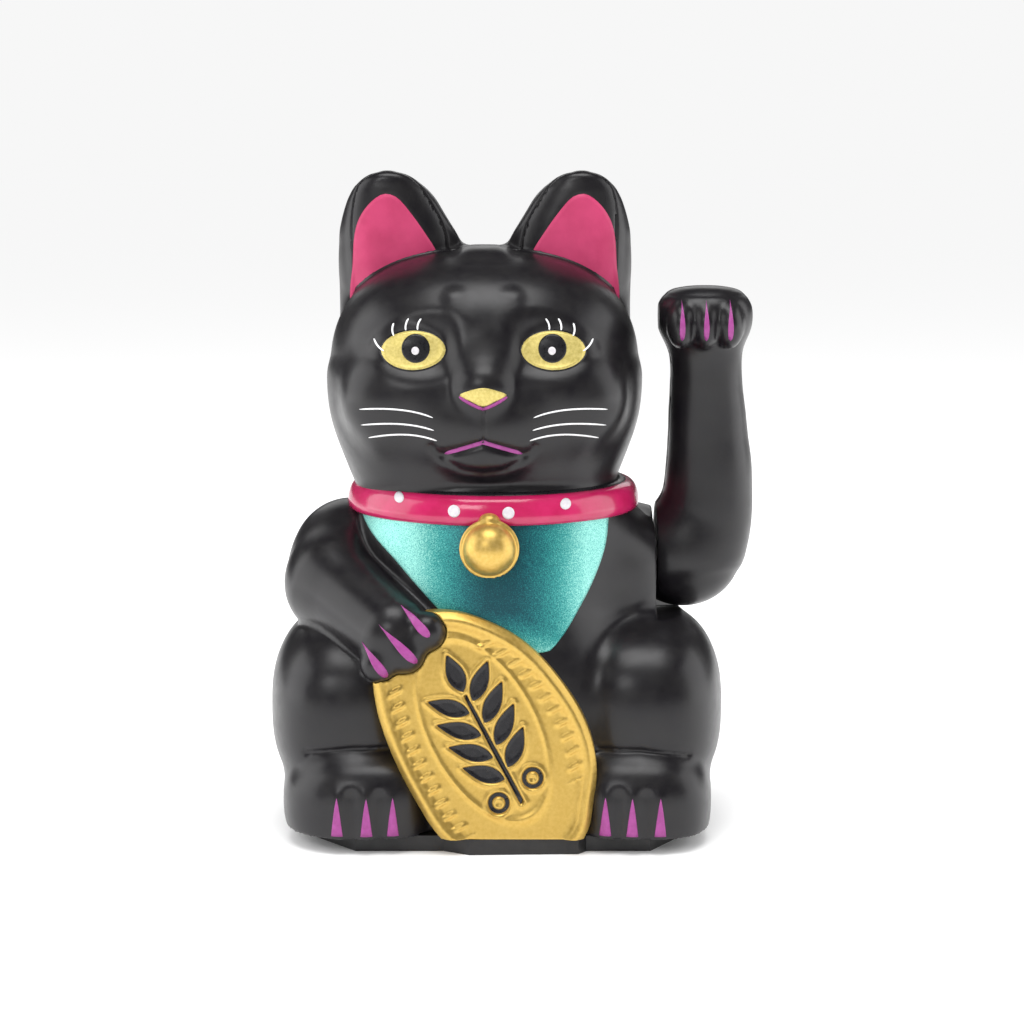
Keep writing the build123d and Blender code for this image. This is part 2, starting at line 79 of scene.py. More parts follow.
STEP_BELL = 0.35
INSIDE_KEEP = 0.56      # share of the faces kept on the hidden inner side of the body shells


# ---- shape fields

def length(vectors):
    """Length of each row."""
    return np.sqrt((vectors * vectors).sum(-1))


def join(a, b, blend):
    """Union of two fields with a soft fillet."""
    share = np.clip(0.5 + 0.5 * (b - a) / blend, 0.0, 1.0)
    return b + (a - b) * share - blend * share * (1.0 - share)


def carve(a, b, blend):
    """The first field with the second taken away."""
    return -join(-a, b, blend)


def ball(p, centre, radii):
    """Ellipsoid."""
    q = (p - np.float32(centre)) / np.float32(radii)
    k0 = length(q)
    k1 = length(q / np.float32(radii))
    return k0 * (k0 - 1.0) / np.maximum(k1, 1e-6)


def lump(p, centre, radii, power):
    """Ellipsoid with squarer shoulders."""
    q = np.abs((p - np.float32(centre)) / np.float32(radii))
    k = (q ** power).sum(-1) ** (1.0 / power)
    return (k - 1.0) * min(radii)


def limb(p, start, end, r_start, r_end):
    """Round bar with different end radii."""
    a, b = np.float32(start), np.float32(end)
    along = b - a
    t = np.clip((p - a) @ along / (along @ along), 0.0, 1.0)
    return length(p - a - t[:, None] * along) - (r_start + (r_end - r_start) * t)


def smooth_rows(rows):
    """Rows of section values turned into dense columns, with eased slopes between them."""
    rows = np.array(rows, float)
    heights = rows[:, 0]
    slopes = np.gradient(rows, heights, axis=0)
    dense = np.linspace(heights[0], heights[-1], 12 * len(rows))
    spot = np.clip(np.searchsorted(heights, dense) - 1, 0, len(rows) - 2)
    gap = (heights[spot + 1] - heights[spot])[:, None]
    t = (dense - heights[spot])[:, None] / gap
    values = ((2 * t ** 3 - 3 * t ** 2 + 1) * rows[spot] + (t ** 3 - 2 * t ** 2 + t) * gap * slopes[spot]
              + (3 * t ** 2 - 2 * t ** 3) * rows[spot + 1] + (t ** 3 - t ** 2) * gap * slopes[spot + 1])
    values[:, 0] = dense
    return values


def section_gap(p, z, rows, power, mirror):
    """Sideways distance to the rounded section at height z."""
    mid, half, front, back = (np.interp(z, rows[:, 0], rows[:, i]).astype(np.float32) for i in (1, 2, 3, 4))
    if mirror:
        mid = HEAD_X + mirror * mid
    deep = (back - front) / 2
    k = (np.abs((p[:, 0] - mid) / half) ** power + np.abs((p[:, 1] - (front + back) / 2) / deep) ** power)
    return (k ** (1.0 / power) - 1.0) * np.minimum(half, deep)


def loft(p, rows, power, mirror=0, round_end=1.0):
    """Stack of rounded sections: height, centre X, half width, front Y, back Y."""
    z = np.clip(p[:, 2], rows[0, 0], rows[-1, 0])
    side = section_gap(p, z, rows, power, mirror)
    lean = (section_gap(p, z + 0.4, rows, power, mirror) - side) / 0.4
    side = side / np.sqrt(1.0 + np.clip(lean, -8, 8) ** 2)
    ends = np.maximum(rows[0, 0] - p[:, 2], p[:, 2] - rows[-1, 0])
    return -join(-side, -ends, round_end)


def segment_distance(u, v, start, end):
    """Distance to a straight piece of line."""
    (x, y), (ex, ey) = start, (end[0] - start[0], end[1] - start[1])
    t = np.clip(((u - x) * ex + (v - y) * ey) / (ex * ex + ey * ey), 0, 1)
    return np.hypot(u - x - t * ex, v - y - t * ey)


def path_distance(u, v, points):
    """Distance to an open line of points."""
    best = np.full(len(u), 1e6, np.float32)
    for start, end in zip(points, points[1:]):
        best = np.minimum(best, segment_distance(u, v, start, end))
    return best


def groove(p, d, points, width, depth, face=-1):
    """Shallow line pressed into the front (face -1) or the back (face 1) of a field."""
    near = (face * p[:, 1] > 8.0) & (np.abs(d) < 3.0)
    u, v = p[near, 0], p[near, 2]
    d = d.copy()
    d[near] += depth * np.exp(-(path_distance(u, v, points) / width) ** 2)
    return d


def outline_distance(u, v, points):
    """Signed distance to a closed outline, negative inside."""
    points = np.array(points, float)
    best = np.full(len(u), 1e9)
    inside = np.zeros(len(u), bool)
    for start, end in zip(points, np.roll(points, -1, axis=0)):
        best = np.minimum(best, segment_distance(u, v, start, end))
        (x0, y0), (x1, y1) = start, end
        if y1 != y0:
            inside ^= ((y0 > v) != (y1 > v)) & (u < (x1 - x0) * (v - y0) / (y1 - y0) + x0)
    return np.where(inside, -best, best)


def rounded(points, count=72):
    """Closed outline through the given points, as a smooth curve."""
    points = np.array(points, float)
    before, after = np.roll(points, 1, axis=0), np.roll(points, -1, axis=0)
    after2 = np.roll(points, -2, axis=0)
    per = max(2, count // len(points))
    curve = []
    for i in range(len(points)):
        for t in np.arange(per) / per:
            a, b, c, d = before[i], points[i], after[i], after2[i]
            curve.append(b + 0.5 * t * (c - a + t * (2 * a - 5 * b + 4 * c - d + t * (3 * (b - c) + d - a))))
    return np.array(curve)


# ---- meshes from fields

def repeat_block(block, times, shape):
    """Grid of coarse values spread over the fine grid."""
    for axis in range(3):
        block = block.repeat(times, axis)
    return block[:shape[0], :shape[1], :shape[2]]


def sample_near(field, axes, step):
    """Field values on a grid, worked out exactly only near the surface."""
    coarse = 4
    shape = tuple(len(a) for a in axes)
    rough_axes = [a[::coarse] for a in axes]
    rough = np.stack(np.meshgrid(*rough_axes, indexing="ij"), -1).reshape(-1, 3).astype(np.float32)
    rough_values = field(rough).reshape([len(a) for a in rough_axes])
    near = np.abs(rough_values) < coarse * step * 2.2
    for axis in range(3):
        near = near | np.roll(near, -1, axis)
    values = repeat_block(rough_values, coarse, shape).astype(np.float32)
    spots = np.argwhere(repeat_block(near, coarse, shape))
    chunk = 400000
    for first in range(0, len(spots), chunk):
        part = spots[first:first + chunk]
        points = np.stack([axes[i][part[:, i]] for i in range(3)], -1).astype(np.float32)
        values[part[:, 0], part[:, 1], part[:, 2]] = field(points)
    return values


def surface_net(field, low, high, step):
    """Closed quad mesh of a field's zero level: vertices and faces."""
    axes = [np.arange(low[i], high[i] + step, step) for i in range(3)]
    values = sample_near(field, axes, step)
    inside = values < 0
    n = [s - 1 for s in inside.shape]
    offsets = [(i, j, k) for i in (0, 1) for j in (0, 1) for k in (0, 1)]
    count = sum(inside[i:n[0] + i, j:n[1] + j, k:n[2] + k].astype(np.int8) for i, j, k in offsets)
    active = (count > 0) & (count < 8)
    cells = np.argwhere(active)
    index = np.full(active.shape, -1, np.int64)
    index[active] = np.arange(len(cells))
    total = np.zeros((len(cells), 3))
    hits = np.zeros(len(cells))
    for corner in offsets:
        for axis in range(3):
            if corner[axis]:
                continue
            a = cells + corner
            b = a.copy()
            b[:, axis] += 1
            va, vb = values[tuple(a.T)], values[tuple(b.T)]
            cut = (va < 0) != (vb < 0)
            t = va[cut] / (va[cut] - vb[cut])
            spot = np.tile(np.array(corner, float), (cut.sum(), 1))
            spot[:, axis] += t
            total[cut] += spot
            hits[cut] += 1
    points = np.array(low) + step * (cells + total / hits[:, None])
    faces = []
    for axis in range(3):
        near_side = [slice(None)] * 3
        far_side = [slice(None)] * 3
        near_side[axis], far_side[axis] = slice(None, -1), slice(1, None)
        a, b = inside[tuple(near_side)], inside[tuple(far_side)]
        u, v = (axis + 1) % 3, (axis + 2) % 3
        edges = np.argwhere(a != b)
        keep = (edges[:, u] > 0) & (edges[:, v] > 0) & (edges[:, u] < n[u]) & (edges[:, v] < n[v])
        edges = edges[keep]
        outward = a[tuple(edges.T)]
        ring = []
        for du, dv in ((1, 1), (0, 1), (0, 0), (1, 0)):
            cell = edges.copy()
            cell[:, u] -= du
            cell[:, v] -= dv
            ring.append(index[tuple(cell.T)])
        quad = np.stack(ring, -1)
        quad[~outward] = quad[~outward][:, ::-1]
        faces.append(quad)
    return points, np.concatenate(faces)


def slope(field, points, reach=0.15):
    """Direction in which the field grows fastest."""
    parts = []
    for axis in range(3):
        shift = np.zeros(3, np.float32)
        shift[axis] = reach
        parts.append(field(points + shift) - field(points - shift))
    return np.stack(parts, -1) / (2 * reach)


def settle(field, points, rounds=2, most=0.4):
    """Moves the points onto the field's zero level."""
    points = points.astype(np.float32)
    for _ in range(rounds):
        grade = slope(field, points)
        step = field(points)[:, None] * grade / np.maximum((grade * grade).sum(-1), 0.05)[:, None]
        points = points - np.clip(step, -most, most)
    return points


def make_object(name, points, faces, body, material):
    """Mesh object in metres that rides on a body."""
    mesh = bpy.data.meshes.new(name)
    mesh.from_pydata((np.array(points) * MM).tolist(), [], [list(f) for f in faces])
    mesh.validate()
    mesh.update()
    mesh.polygons.foreach_set("use_smooth", [True] * len(mesh.polygons))
    obj = bpy.data.objects.new(name, mesh)
    bpy.context.scene.collection.objects.link(obj)
    obj.data.materials.append(material)
    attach(obj, body)
    return obj


def square_seam(points, outside, side, step):
    """Straightens the edge where a half is cut at Y = 0: flat cut face, rim exactly on the outside."""
    cut = side * SEAM_GAP
    rounds, most = 6, 0.3
    near = np.abs(points[:, 1] - cut) < 0.45 * step
    points[near, 1] = cut
    rim = np.flatnonzero(near)
    rim = rim[np.abs(outside(points[rim])) < 0.5 * step]
    for _ in range(rounds):
        grade = slope(outside, points[rim])
        grade[:, 1] = 0.0
        size = np.maximum((grade * grade).sum(-1), 0.1)[:, None]
        points[rim] -= np.clip(outside(points[rim])[:, None] * grade / size, -most, most)
    return points


def sculpt(name, field, low, high, step, body, material, finish=None):
    """Object from a field; a finish, where given, moves its points once more."""
    points, faces = surface_net(field, low, high, step)
    points = settle(field, points)
    if finish is not None:
        points = finish(points)
    return make_object(name, points, faces, body, material)


def thin_inside(obj, field, wall, keep):
    """Fewer faces on the hidden inner side of a hollow piece."""
    points = np.empty(len(obj.data.vertices) * 3, np.float32)
    obj.data.vertices.foreach_get("co", points)
    depth = field(points.reshape(-1, 3) / MM)
    hidden = np.flatnonzero(depth < -wall * 0.6)
    group = obj.vertex_groups.new(name="inside")
    group.add(hidden.tolist(), 1.0, "REPLACE")
    modifier = obj.modifiers.new("thin", "DECIMATE")
    modifier.ratio = keep
    modifier.vertex_group = "inside"
    bpy.context.view_layer.objects.active = obj
    bpy.ops.object.modifier_apply(modifier=modifier.name)
    obj.vertex_groups.clear()


# ---- the cat's body

# Height, centre X, half width, front Y, back Y
TORSO = smooth_rows([
    (3.5, 0.0, 45.5, -36.5, 43.2), (14, 0.0, 46.0, -37.0, 44.0), (25, 0.0, 45.0, -37.2, 43.6),
    (34, 0.0, 42.0, -37.0, 42.0), (41, -0.2, 37.0, -36.6, 40.0), (47, -0.5, 32.5, -36.0, 38.0),
    (53, -0.5, 30.0, -35.4, 36.0), (60, -0.7, 30.0, -34.6, 33.5), (67, -0.9, 31.4, -33.2, 31.0),
    (74, -0.8, 30.6, -31.0, 28.5), (80, -1.5, 28.6, -28.0, 26.5)])
HEAD = smooth_rows([
    (74, HEAD_X, 28.0, -25.0, 24.5), (79, HEAD_X, 30.2, -27.0, 26.0), (83, HEAD_X, 31.8, -28.5, 27.5),
    (88, HEAD_X, 33.4, -30.0, 28.8), (94, HEAD_X, 34.8, -31.0, 29.8), (100, HEAD_X, 35.3, -31.4, 30.0),
    (106, HEAD_X, 35.3, -31.2, 29.8)])
# Ear centres are counted outwards from the middle of the head
EAR = smooth_rows([
    (98, 16.0, 7.0, 2.0, 19.0), (106, 18.0, 10.0, -2.0, 26.0), (114, 19.3, 12.3, -3.2, 28.3),
    (120, 19.9, 13.6, -3.4, 27.6), (126, 19.8, 14.4, -3.4, 25.2), (130, 19.6, 14.6, -3.4, 22.8),
    (133.2, 19.5, 14.5, -3.3, 20.4), (135.9, 19.8, 14.0, -3.2, 18.2), (138.7, 20.3, 12.9, -3.1, 15.8),
    (141.4, 20.9, 11.5, -2.9, 13.2), (144.1, 21.5, 9.8, -2.7, 10.3), (146.9, 22.0, 7.4, -2.4, 7.0),
    (149.2, 22.2, 3.9, -1.8, 3.8), (150.0, 22.3, 1.6, -1.0, 1.8)])
# Lining of an ear and lines of the face: distance from the middle of the head, height
EAR_INSET = rounded([
    (23.8, 144.4), (27.4, 141.2), (29.6, 136.5), (30.3, 129.0), (30.2, 118.5), (20.0, 118.5),
    (9.5, 121.0), (10.4, 129.8), (13.8, 136.0), (18.2, 142.0), (20.8, 144.3)])
EYE_OUT = 15.4
EYE_Z = 110.7
MOUTH = [(-8.5, 88.1), (0.0, 90.8), (8.5, 88.1)]
CHIN = [(-11.3, 89.7), (-8.5, 86.6), (-4.5, 84.5), (0.0, 83.9), (4.5, 84.5), (8.5, 86.6), (11.3, 89.7)]
LIP = [(0.0, 98.2), (0.0, 91.0)]
NOSE = [(-5.1, 101.3), (-2.6, 102.5), (0.0, 103.0), (2.6, 102.5), (5.1, 101.3), (2.6, 100.0), (0.0, 98.9),
        (-2.6, 100.0)]
NOSE_EDGE = [(-5.2, 100.9), (-2.6, 99.4), (0.0, 98.2), (2.6, 99.4), (5.2, 100.9)]
LASHES = [[(21.9, 110.5), (23.3, 111.6), (24.2, 113.1)], [(19.7, 113.8), (20.1, 115.1), (19.8, 116.5)],
          [(17.1, 115.0), (17.1, 116.3), (16.5, 117.6)], [(14.5, 115.1), (14.4, 116.4), (13.7, 117.6)]]
WHISKERS = [[(11.0, 96.2), (18.4, 97.9), (27.4, 97.7)], [(10.8, 93.4), (18.4, 94.7), (27.1, 94.1)],
            [(10.2, 91.1), (17.4, 92.3), (25.5, 91.2)]]
# X of the toes of each foot, then X and height along the creases above the feet and the tail's outline
FOOT_TOES = ((-35.1, -28.6, -22.8), (24.1, 30.0, 36.2))
CREASES = (((-42.0, 21.5), (-32.0, 22.6), (-23.0, 22.4)), ((22.7, 22.0), (32.0, 22.2), (42.5, 20.8)))
TAIL = rounded([
    (11.8, 1.0), (10.8, 10.0), (8.4, 17.0), (4.6, 23.0), (-1.5, 28.6), (-7.6, 31.6), (-10.8, 30.6),
    (-11.6, 26.4), (-9.6, 18.0), (-6.6, 10.0), (-3.4, 1.0)], 66)
# Toes of the resting paw: centre and radius
RESTING_TOES = (((-25.9, -37.4, 42.2), 4.2), ((-20.0, -38.0, 44.6), 4.4), ((-15.4, -37.4, 49.4), 4.4))
# Claws of the resting paw: sharp tip and round end
RESTING_CLAWS = (((-29.4, 47.3), (-23.9, 39.8)), ((-25.6, 51.5), (-17.3, 43.1)),
                 ((-20.9, 55.3), (-14.5, 49.0)))
# Outline of the bib: X and height
BIB = rounded([
    (-33.0, 77.0), (-32.0, 74.4), (-28.3, 69.0), (-22.8, 63.9), (-17.3, 58.2), (-10.5, 51.6), (-4.0, 47.0),
    (9.6, 44.2), (14.1, 46.9), (18.9, 54.0), (22.1, 60.1), (24.4, 66.6), (25.2, 73.0), (25.2, 77.5),
    (8.0, 78.5), (-14.0, 78.5)], 96)


def on_head(points, side=1):
    """Points counted outwards from the middle of the head, as X and height."""
    return [(HEAD_X + side * u, z) for u, z in points]


def face_forms(p, d):
    """Cheeks, eye sockets, eyes, brows, nose, muzzle and chin, on the head's field."""
    def at(u, y, z):
        return (HEAD_X + u, y, z)

    for side in (-1, 1):
        cheek = ball(p, at(side * 17.5, -23.0, 99.5), (12.5, 8.4, 9.5))
        socket = ball(p, at(side * 14.4, -38.6, 113.4), (13.0, 11.0, 8.6))
        eye = ball(p, at(side * EYE_OUT, -24.4, EYE_Z), (9.2, 4.6, 5.6))
        brow = limb(p, at(side * 6.2, -24.6, 121.0), at(side * 3.0, -30.8, 105.0), 1.3, 2.7)
        d = join(d, cheek, 7.0)
        d = carve(d, socket, 4.0)
        d = join(d, eye, 1.8)
        d = join(d, brow, 3.2)
    bridge = limb(p, at(0, -27.0, 112.0), at(0, -31.0, 104.0), 3.0, 4.6)
    nose = ball(p, at(0, -31.8, 102.4), (6.2, 4.5, 4.0))
    muzzle = ball(p, at(0, -25.6, 93.6), (14.0, 8.4, 8.0))
    chin = ball(p, at(0, -26.4, 87.4), (10.8, 6.8, 5.0))
    for form, blend in ((bridge, 2.6), (nose, 1.8), (muzzle, 6.0), (chin, 2.0)):
        d = join(d, form, blend)
    for line, width, depth in ((MOUTH, 1.0, 0.8), (CHIN, 0.9, 0.6), (LIP, 0.5, 0.6)):
        d = groove(p, d, on_head(line), width, depth)
    return d


def toward_back(p, start, end):
    """Share that rises from 0 to 1 between two depths."""
    return np.clip((p[:, 1] - start) / (end - start), 0.0, 1.0)


def ear_field(p, side):
    """One ear with the shallow recess of its painted lining."""
    d = loft(p, EAR, 2.3, mirror=side)
    near = (p[:, 1] < 0.0) & (p[:, 2] > 114.0)
    u = side * (p[near, 0] - HEAD_X)
    lining = np.maximum(outline_distance(u, p[near, 2], EAR_INSET), np.abs(p[near, 1] + 3.6) - 0.9)
    d[near] = carve(d[near], lining.astype(np.float32), 0.5)
    return d


def head_field(p):
    """Head with face, crown and ears."""
    dome = lump(p, (HEAD_X, -0.7, 104.0), (35.5, 30.9, 27.9), 2.45)
    crown = lump(p, (HEAD_X, -3.0, 122.0), (6.8, 12.0, 11.0), 4.0)
    d = face_forms(p, join(loft(p, HEAD, 2.4, round_end=4.0), dome, 3.0))
    blend = 1.2 + 4.0 * toward_back(p, 2.0, 9.0)
    for side in (-1, 1):
        d = join(d, ear_field(p, side), blend)
    valley = limb(p, (HEAD_X, -12.0, 158.0), (HEAD_X, 36.0, 124.0), 9.6, 9.6)
    d = carve(d, valley, 3.0)
    return join(d, crown, 2.0)


def trunk_field(p):
    """Torso, narrower high on the back, with the rounded haunches."""
    squeeze = 1.0 + 0.42 * toward_back(p, -2.0, 14.0) * np.clip((p[:, 2] - 42.0) / 16.0, 0.0, 1.0)
    narrowed = p.copy()
    narrowed[:, 0] *= squeeze
    d = loft(narrowed, TORSO, 2.25)
    blend = 3.0 + 8.0 * toward_back(p, -4.0, 10.0)
    for side in (-1, 1):
        haunch = lump(p, (side * 33.3, -7.0, 28.5), (18.5, 30.0, 21.4), 2.6)
        d = join(d, haunch, blend)
    return d


def upper_arm_field(p, side):
    """Rounded upper arm on the back, beside the spine."""
    return limb(p, (side * 24.5, 9.0, 63.5), (side * 33.0, 8.5, 58.5), 11.0, 14.0)


def foot_field(p, middle, side):
    """One wide foot that runs out to the side of the haunch."""
    toe_end = lump(p, (middle, -25.5, 9.0), (13.0, 15.6, 12.6), 3.0)
    outer = lump(p, (side * 33.8, -20.0, 9.0), (14.6, 19.0, 11.8), 2.8)
    return join(toe_end, outer, 7.0)


def foot_lines(p, d):
    """Creases above the feet and the soft grooves between the toes."""
    for line in CREASES:
        d = groove(p, d, line, 0.8, 0.38)
    for toes in FOOT_TOES:
        for left, right in zip(toes, toes[1:]):
            x = (left + right) / 2
            d = groove(p, d, [(x, 3.0), (x, 13.0)], 1.5, 0.65)
        for x in toes:      # a negative depth swells each toe
            d = groove(p, d, [(x, 3.0), (x, 13.5)], 1.5, -0.2)
    return d


def resting_arm_field(p):
    """Arm that bends across the chest to hold the coin."""
    shoulder = ball(p, (-34.0, -0.5, 59.6), (14.0, 16.0, 14.8))
    elbow = ball(p, (-37.0, -8.5, 56.0), (11.2, 14.5, 12.4))
    forearm = limb(p, (-36.8, -14.0, 56.5), (-22.8, -33.2, 48.2), 10.8, 8.6)
    d = join(join(shoulder, elbow, 4.0), forearm, 4.0)
    for centre, radius in RESTING_TOES:
        d = join(d, ball(p, centre, (radius, radius, radius)), 1.8)
    return d


def tail_field(p):
    """Leaf-shaped tail lying on the back."""
    d = np.maximum(36.0 - p[:, 1], p[:, 2] - 32.0)
    near = d < 4.0
    edge = outline_distance(p[near, 0], p[near, 2], TAIL).astype(np.float32)
    crown = 42.2 + 4.6 * np.sqrt(np.clip(-edge / 7.0, 0.0, 1.0)) - 0.02 * p[near, 2]
    outward = (p[near, 1] - crown) * 0.7
    d[near] = np.maximum(edge, np.maximum(outward, 34.0 - p[near, 1]))
    return d


def shoulder_field(p):
    """Shoulder that ends in the flat facet beside the waving arm."""
    return lump(p, (24.0, -1.0, 59.0), (17.0, 19.5, 13.8), 2.2)


def body_field(p):
    """The whole outside of the two body shells."""
    d = trunk_field(p)
    d = join(d, foot_field(p, -27.5, -1), 2.0)
    d = join(d, foot_field(p, 31.0, 1), 2.0)
    d = foot_lines(p, d)
    d = join(d, tail_field(p), 1.0)
    arm_space = np.maximum(SHOULDER_FACE - p[:, 0], ARM_GAP_LOW - p[:, 2])
    d = join(d, shoulder_field(p), 7.0)
    for side in (-1, 1):
        d = join(d, upper_arm_field(p, side), 1.6)
    d = np.maximum(d, -arm_space)
    d = join(d, resting_arm_field(p), 1.6)
    d = join(d, head_field(p), 1.5)
    return np.maximum(d, PLATE_TOP - p[:, 2])


def base_boss_field(p):
    """Inner bosses that take the four base screws."""
    low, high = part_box("base_screws")
    left, right = PER_METRE * low.x + 2.4, PER_METRE * high.x - 2.4
    d = np.full(len(p), 1e3, np.float32)
    for x, y in ((left, -16.0), (right - 0.5, -16.0), (-33.0, 25.0), (32.0, 25.5)):
        d = np.minimum(d, limb(p, (x, y, PLATE_TOP), (x, y, BOSS_TOP), BOSS_RADIUS, BOSS_RADIUS))
    return d


def shell_field(side):
    """One hollow half of the body; side is -1 for the front and 1 for the back."""
    def field(p):
        outside = body_field(p)
        hole = np.hypot(p[:, 1], p[:, 2] - AXIS_Z) - AXLE_HOLE
        hole = np.maximum(hole, AXLE_HOLE_START - p[:, 0])
        d = np.maximum(outside, -(outside + WALL))
        d = np.minimum(d, np.maximum(base_boss_field(p), outside))
        d = np.maximum(d, -hole)
        d = np.maximum(d, PLATE_TOP + PLATE_GAP - p[:, 2])
        return np.maximum(d, SEAM_GAP - side * p[:, 1])
    return field


# ---- the waving arm

ARM_ROWS = smooth_rows([
    (60, 47.0, 9.6, -11.2, 11.2), (66, 47.9, 10.9, -11.8, 11.4), (72, 48.5, 10.9, -12.0, 11.0),
    (77.6, 49.0, 10.3, -12.0, 10.2), (83.2, 49.1, 9.9, -12.0, 9.0), (89.3, 48.8, 9.3, -12.0, 7.8),
    (94.9, 48.5, 8.9, -12.2, 6.4), (100.4, 48.2, 8.4, -12.6, 4.9), (105.9, 48.0, 8.2, -13.2, 3.7),
    (111, 47.7, 8.7, -14.4, 2.9), (115, 47.5, 9.3, -15.5, 2.5), (119, 47.4, 9.2, -15.0, 1.8),
    (122, 47.4, 7.6, -13.0, -0.4)])
ARM_TOES = (41.6, 47.0, 52.4)


def arm_field(p):
    """Outside of the waving arm: hub, forearm, paw and toes."""
    d = loft(p, ARM_ROWS, 2.15, round_end=2.5)
    hub = ball(p, (43.4, 0.0, 61.5), (13.4, 12.0, 12.4))
    paw = lump(p, (47.4, -8.2, 117.2), (10.0, 10.0, 6.6), 2.4)
    d = join(join(d, hub, 4.0), paw, 4.0)
    for x in ARM_TOES:
        d = join(d, ball(p, (x, -15.6, 115.4), (3.3, 4.6, 5.2)), 1.0)
    return np.maximum(d, ARM_FACE - p[:, 0])


def arm_half_field(side):
    """One hollow half of the arm; the seam leans forward with the arm."""
    def field(p):
        outside = arm_field(p)
        across = p[:, 1] * math.cos(ARM_LEAN) + (p[:, 2] - AXIS_Z) * math.sin(ARM_LEAN)
        from_axis = np.hypot(p[:, 1], p[:, 2] - AXIS_Z)
        d = np.maximum(outside, -(outside + ARM_WALL))
        socket = np.maximum(from_axis - SOCKET_RADIUS, p[:, 0] - SOCKET_END)
        d = np.minimum(d, np.maximum(socket, outside))
        d = np.maximum(d, -np.maximum(from_axis - AXLE_RADIUS, p[:, 0] - AXLE_END))
        return np.maximum(d, SEAM_GAP - side * across)
    return field


# ---- collar, bell and coin

COLLAR_MID = (-0.8, -1.0, 75.9)
COLLAR_HALF = (31.2, 29.8)
COLLAR_BOX = ((-37, -36, 66), (36, 38, 87))
COLLAR_POWER = 2.6
COLLAR_DOTS = ((-21.7, 77.6, 1.1), (-9.3, 75.4, 1.35), (2.7, 75.1, 1.35), (15.4, 76.6, 1.2))
KNOT = (-0.9, 28.4, 76.7)
BELL_SPOT = (-1.5, -34.6, 67.3)


def ring_field(p, thick, tall, grow):
    """Rounded band round the neck."""
    q = (p[:, :2] - np.float32(COLLAR_MID[:2])) / np.float32(COLLAR_HALF)
    up = p[:, 2] - COLLAR_MID[2] - 0.6 * np.clip(p[:, 1] / 30.0, -1, 1)
    out = (length(q) - 1.0) * min(COLLAR_HALF) + 0.2 * up - grow
    k = (np.abs(out / thick) ** COLLAR_POWER + np.abs(up / tall) ** COLLAR_POWER) ** (1 / COLLAR_POWER)
    return (k - 1.0) * min(thick, tall)


def collar_field(p):
    """Painted band with the gathered knot behind."""
    d = ring_field(p, 2.3, 3.3, 0.0)
    x, y, z = KNOT
    d = join(d, lump(p, KNOT, (11.8, 5.6, 7.0), 2.8), 1.0)
    for side in (-1, 1):
        d = join(d, lump(p, (x + side * 12.0, y - 1.4, z - 0.2), (7.0, 4.9, 6.2), 2.4), 0.8)
    for gap in (-4.6, 4.6):
        d = groove(p, d, [(x + gap, z - 9.0), (x + gap, z + 9.0)], 0.8, 0.6, face=1)
    return d


def bell_field(p):
    """Domed bell with a thin rim and a small hanging cap."""
    x, y, z = BELL_SPOT
    d = ball(p, BELL_SPOT, (5.8, 5.6, 5.8))
    rim = np.maximum(np.hypot(p[:, 0] - x, p[:, 2] - z) - 6.6, np.abs(p[:, 1] - y - 0.6) - 0.6)
    d = join(d, rim, 0.6)
    return join(d, ball(p, (x, y + 2.2, z + 6.2), (2.4, 2.6, 1.7)), 0.6)


# Coin: X and height of its edge, its middle, then how it leans and where its faces lie
COIN_EDGE = rounded([
    (-10.3, 53.8), (0.2, 50.7), (8.6, 45.0), (16.2, 35.8), (20.4, 27.9), (22.2, 20.0), (21.6, 12.5),
    (19.4, 3.6), (10.0, -6.0), (-2.0, -4.0), (-12.0, 3.4), (-18.1, 12.5), (-23.3, 22.9), (-26.5, 33.0),
    (-26.6, 42.0), (-20.0, 51.5)], 96)
COIN_MIDDLE = (-2.4, 27.0)
COIN_LEAN = math.radians(28.0)
COIN_FACE = -41.3
COIN_BACK = -34.0
COIN_TILT = 0.085       # the top of the coin leans back
COIN_OVAL = (11.8, 22.0)        # half width and half height of the inner ring line
TICK_PITCH = 3.3


def leaf(foot, tip, width, count=24):
    """Closed pointed leaf outline between two points on the coin."""
    foot, tip = np.array(foot, float), np.array(tip, float)
    t = np.linspace(0, 1, count // 2)
    bulge = np.sin(math.pi * t ** 0.8) * width / 2
    line = foot + (tip - foot) * t[:, None]
    across = np.array([-(tip - foot)[1], (tip - foot)[0]]) / np.hypot(*(tip - foot))
    return np.concatenate([line + across * bulge[:, None], (line - across * bulge[:, None])[-2:0:-1]])


def sprig():
    """Generic leaf sprig: outlines across and along the coin."""
    leaves = [leaf((0.0, 10.3), (0.6, 19.3), 4.0)]
    for i, foot in enumerate((-11.0, -5.5, 0.0, 5.5)):
        reach = 9.0 - 0.6 * abs(i - 1.5)
        leaves.append(leaf((-0.9, foot), (-reach, foot + 6.6), 3.7))
        leaves.append(leaf((0.9, foot + 2.0), (reach, foot + 8.4), 3.7))
    stem = [(-0.45, -17.5), (0.45, -17.5), (0.5, -6.0), (0.35, 9.5), (-0.35, 9.5), (-0.5, -6.0)]
    return leaves + [np.array(stem)]


SPRIG = sprig()
RINGS = ((-4.6, -15.0), (4.6, -13.6))
RING_RADIUS = 1.9


def coin_axes(p):
    """Across and along the leaning coin."""
    x, z = p[:, 0] - COIN_MIDDLE[0], p[:, 2] - COIN_MIDDLE[1]
    c, s = math.cos(COIN_LEAN), math.sin(COIN_LEAN)
    return x * c + z * s, -x * s + z * c


def coin_spot(across, along):
    """X and Z of a spot on the leaning coin."""
    c, s = math.cos(COIN_LEAN), math.sin(COIN_LEAN)
    return np.stack([COIN_MIDDLE[0] + across * c - along * s, COIN_MIDDLE[1] + across * s + along * c], -1)


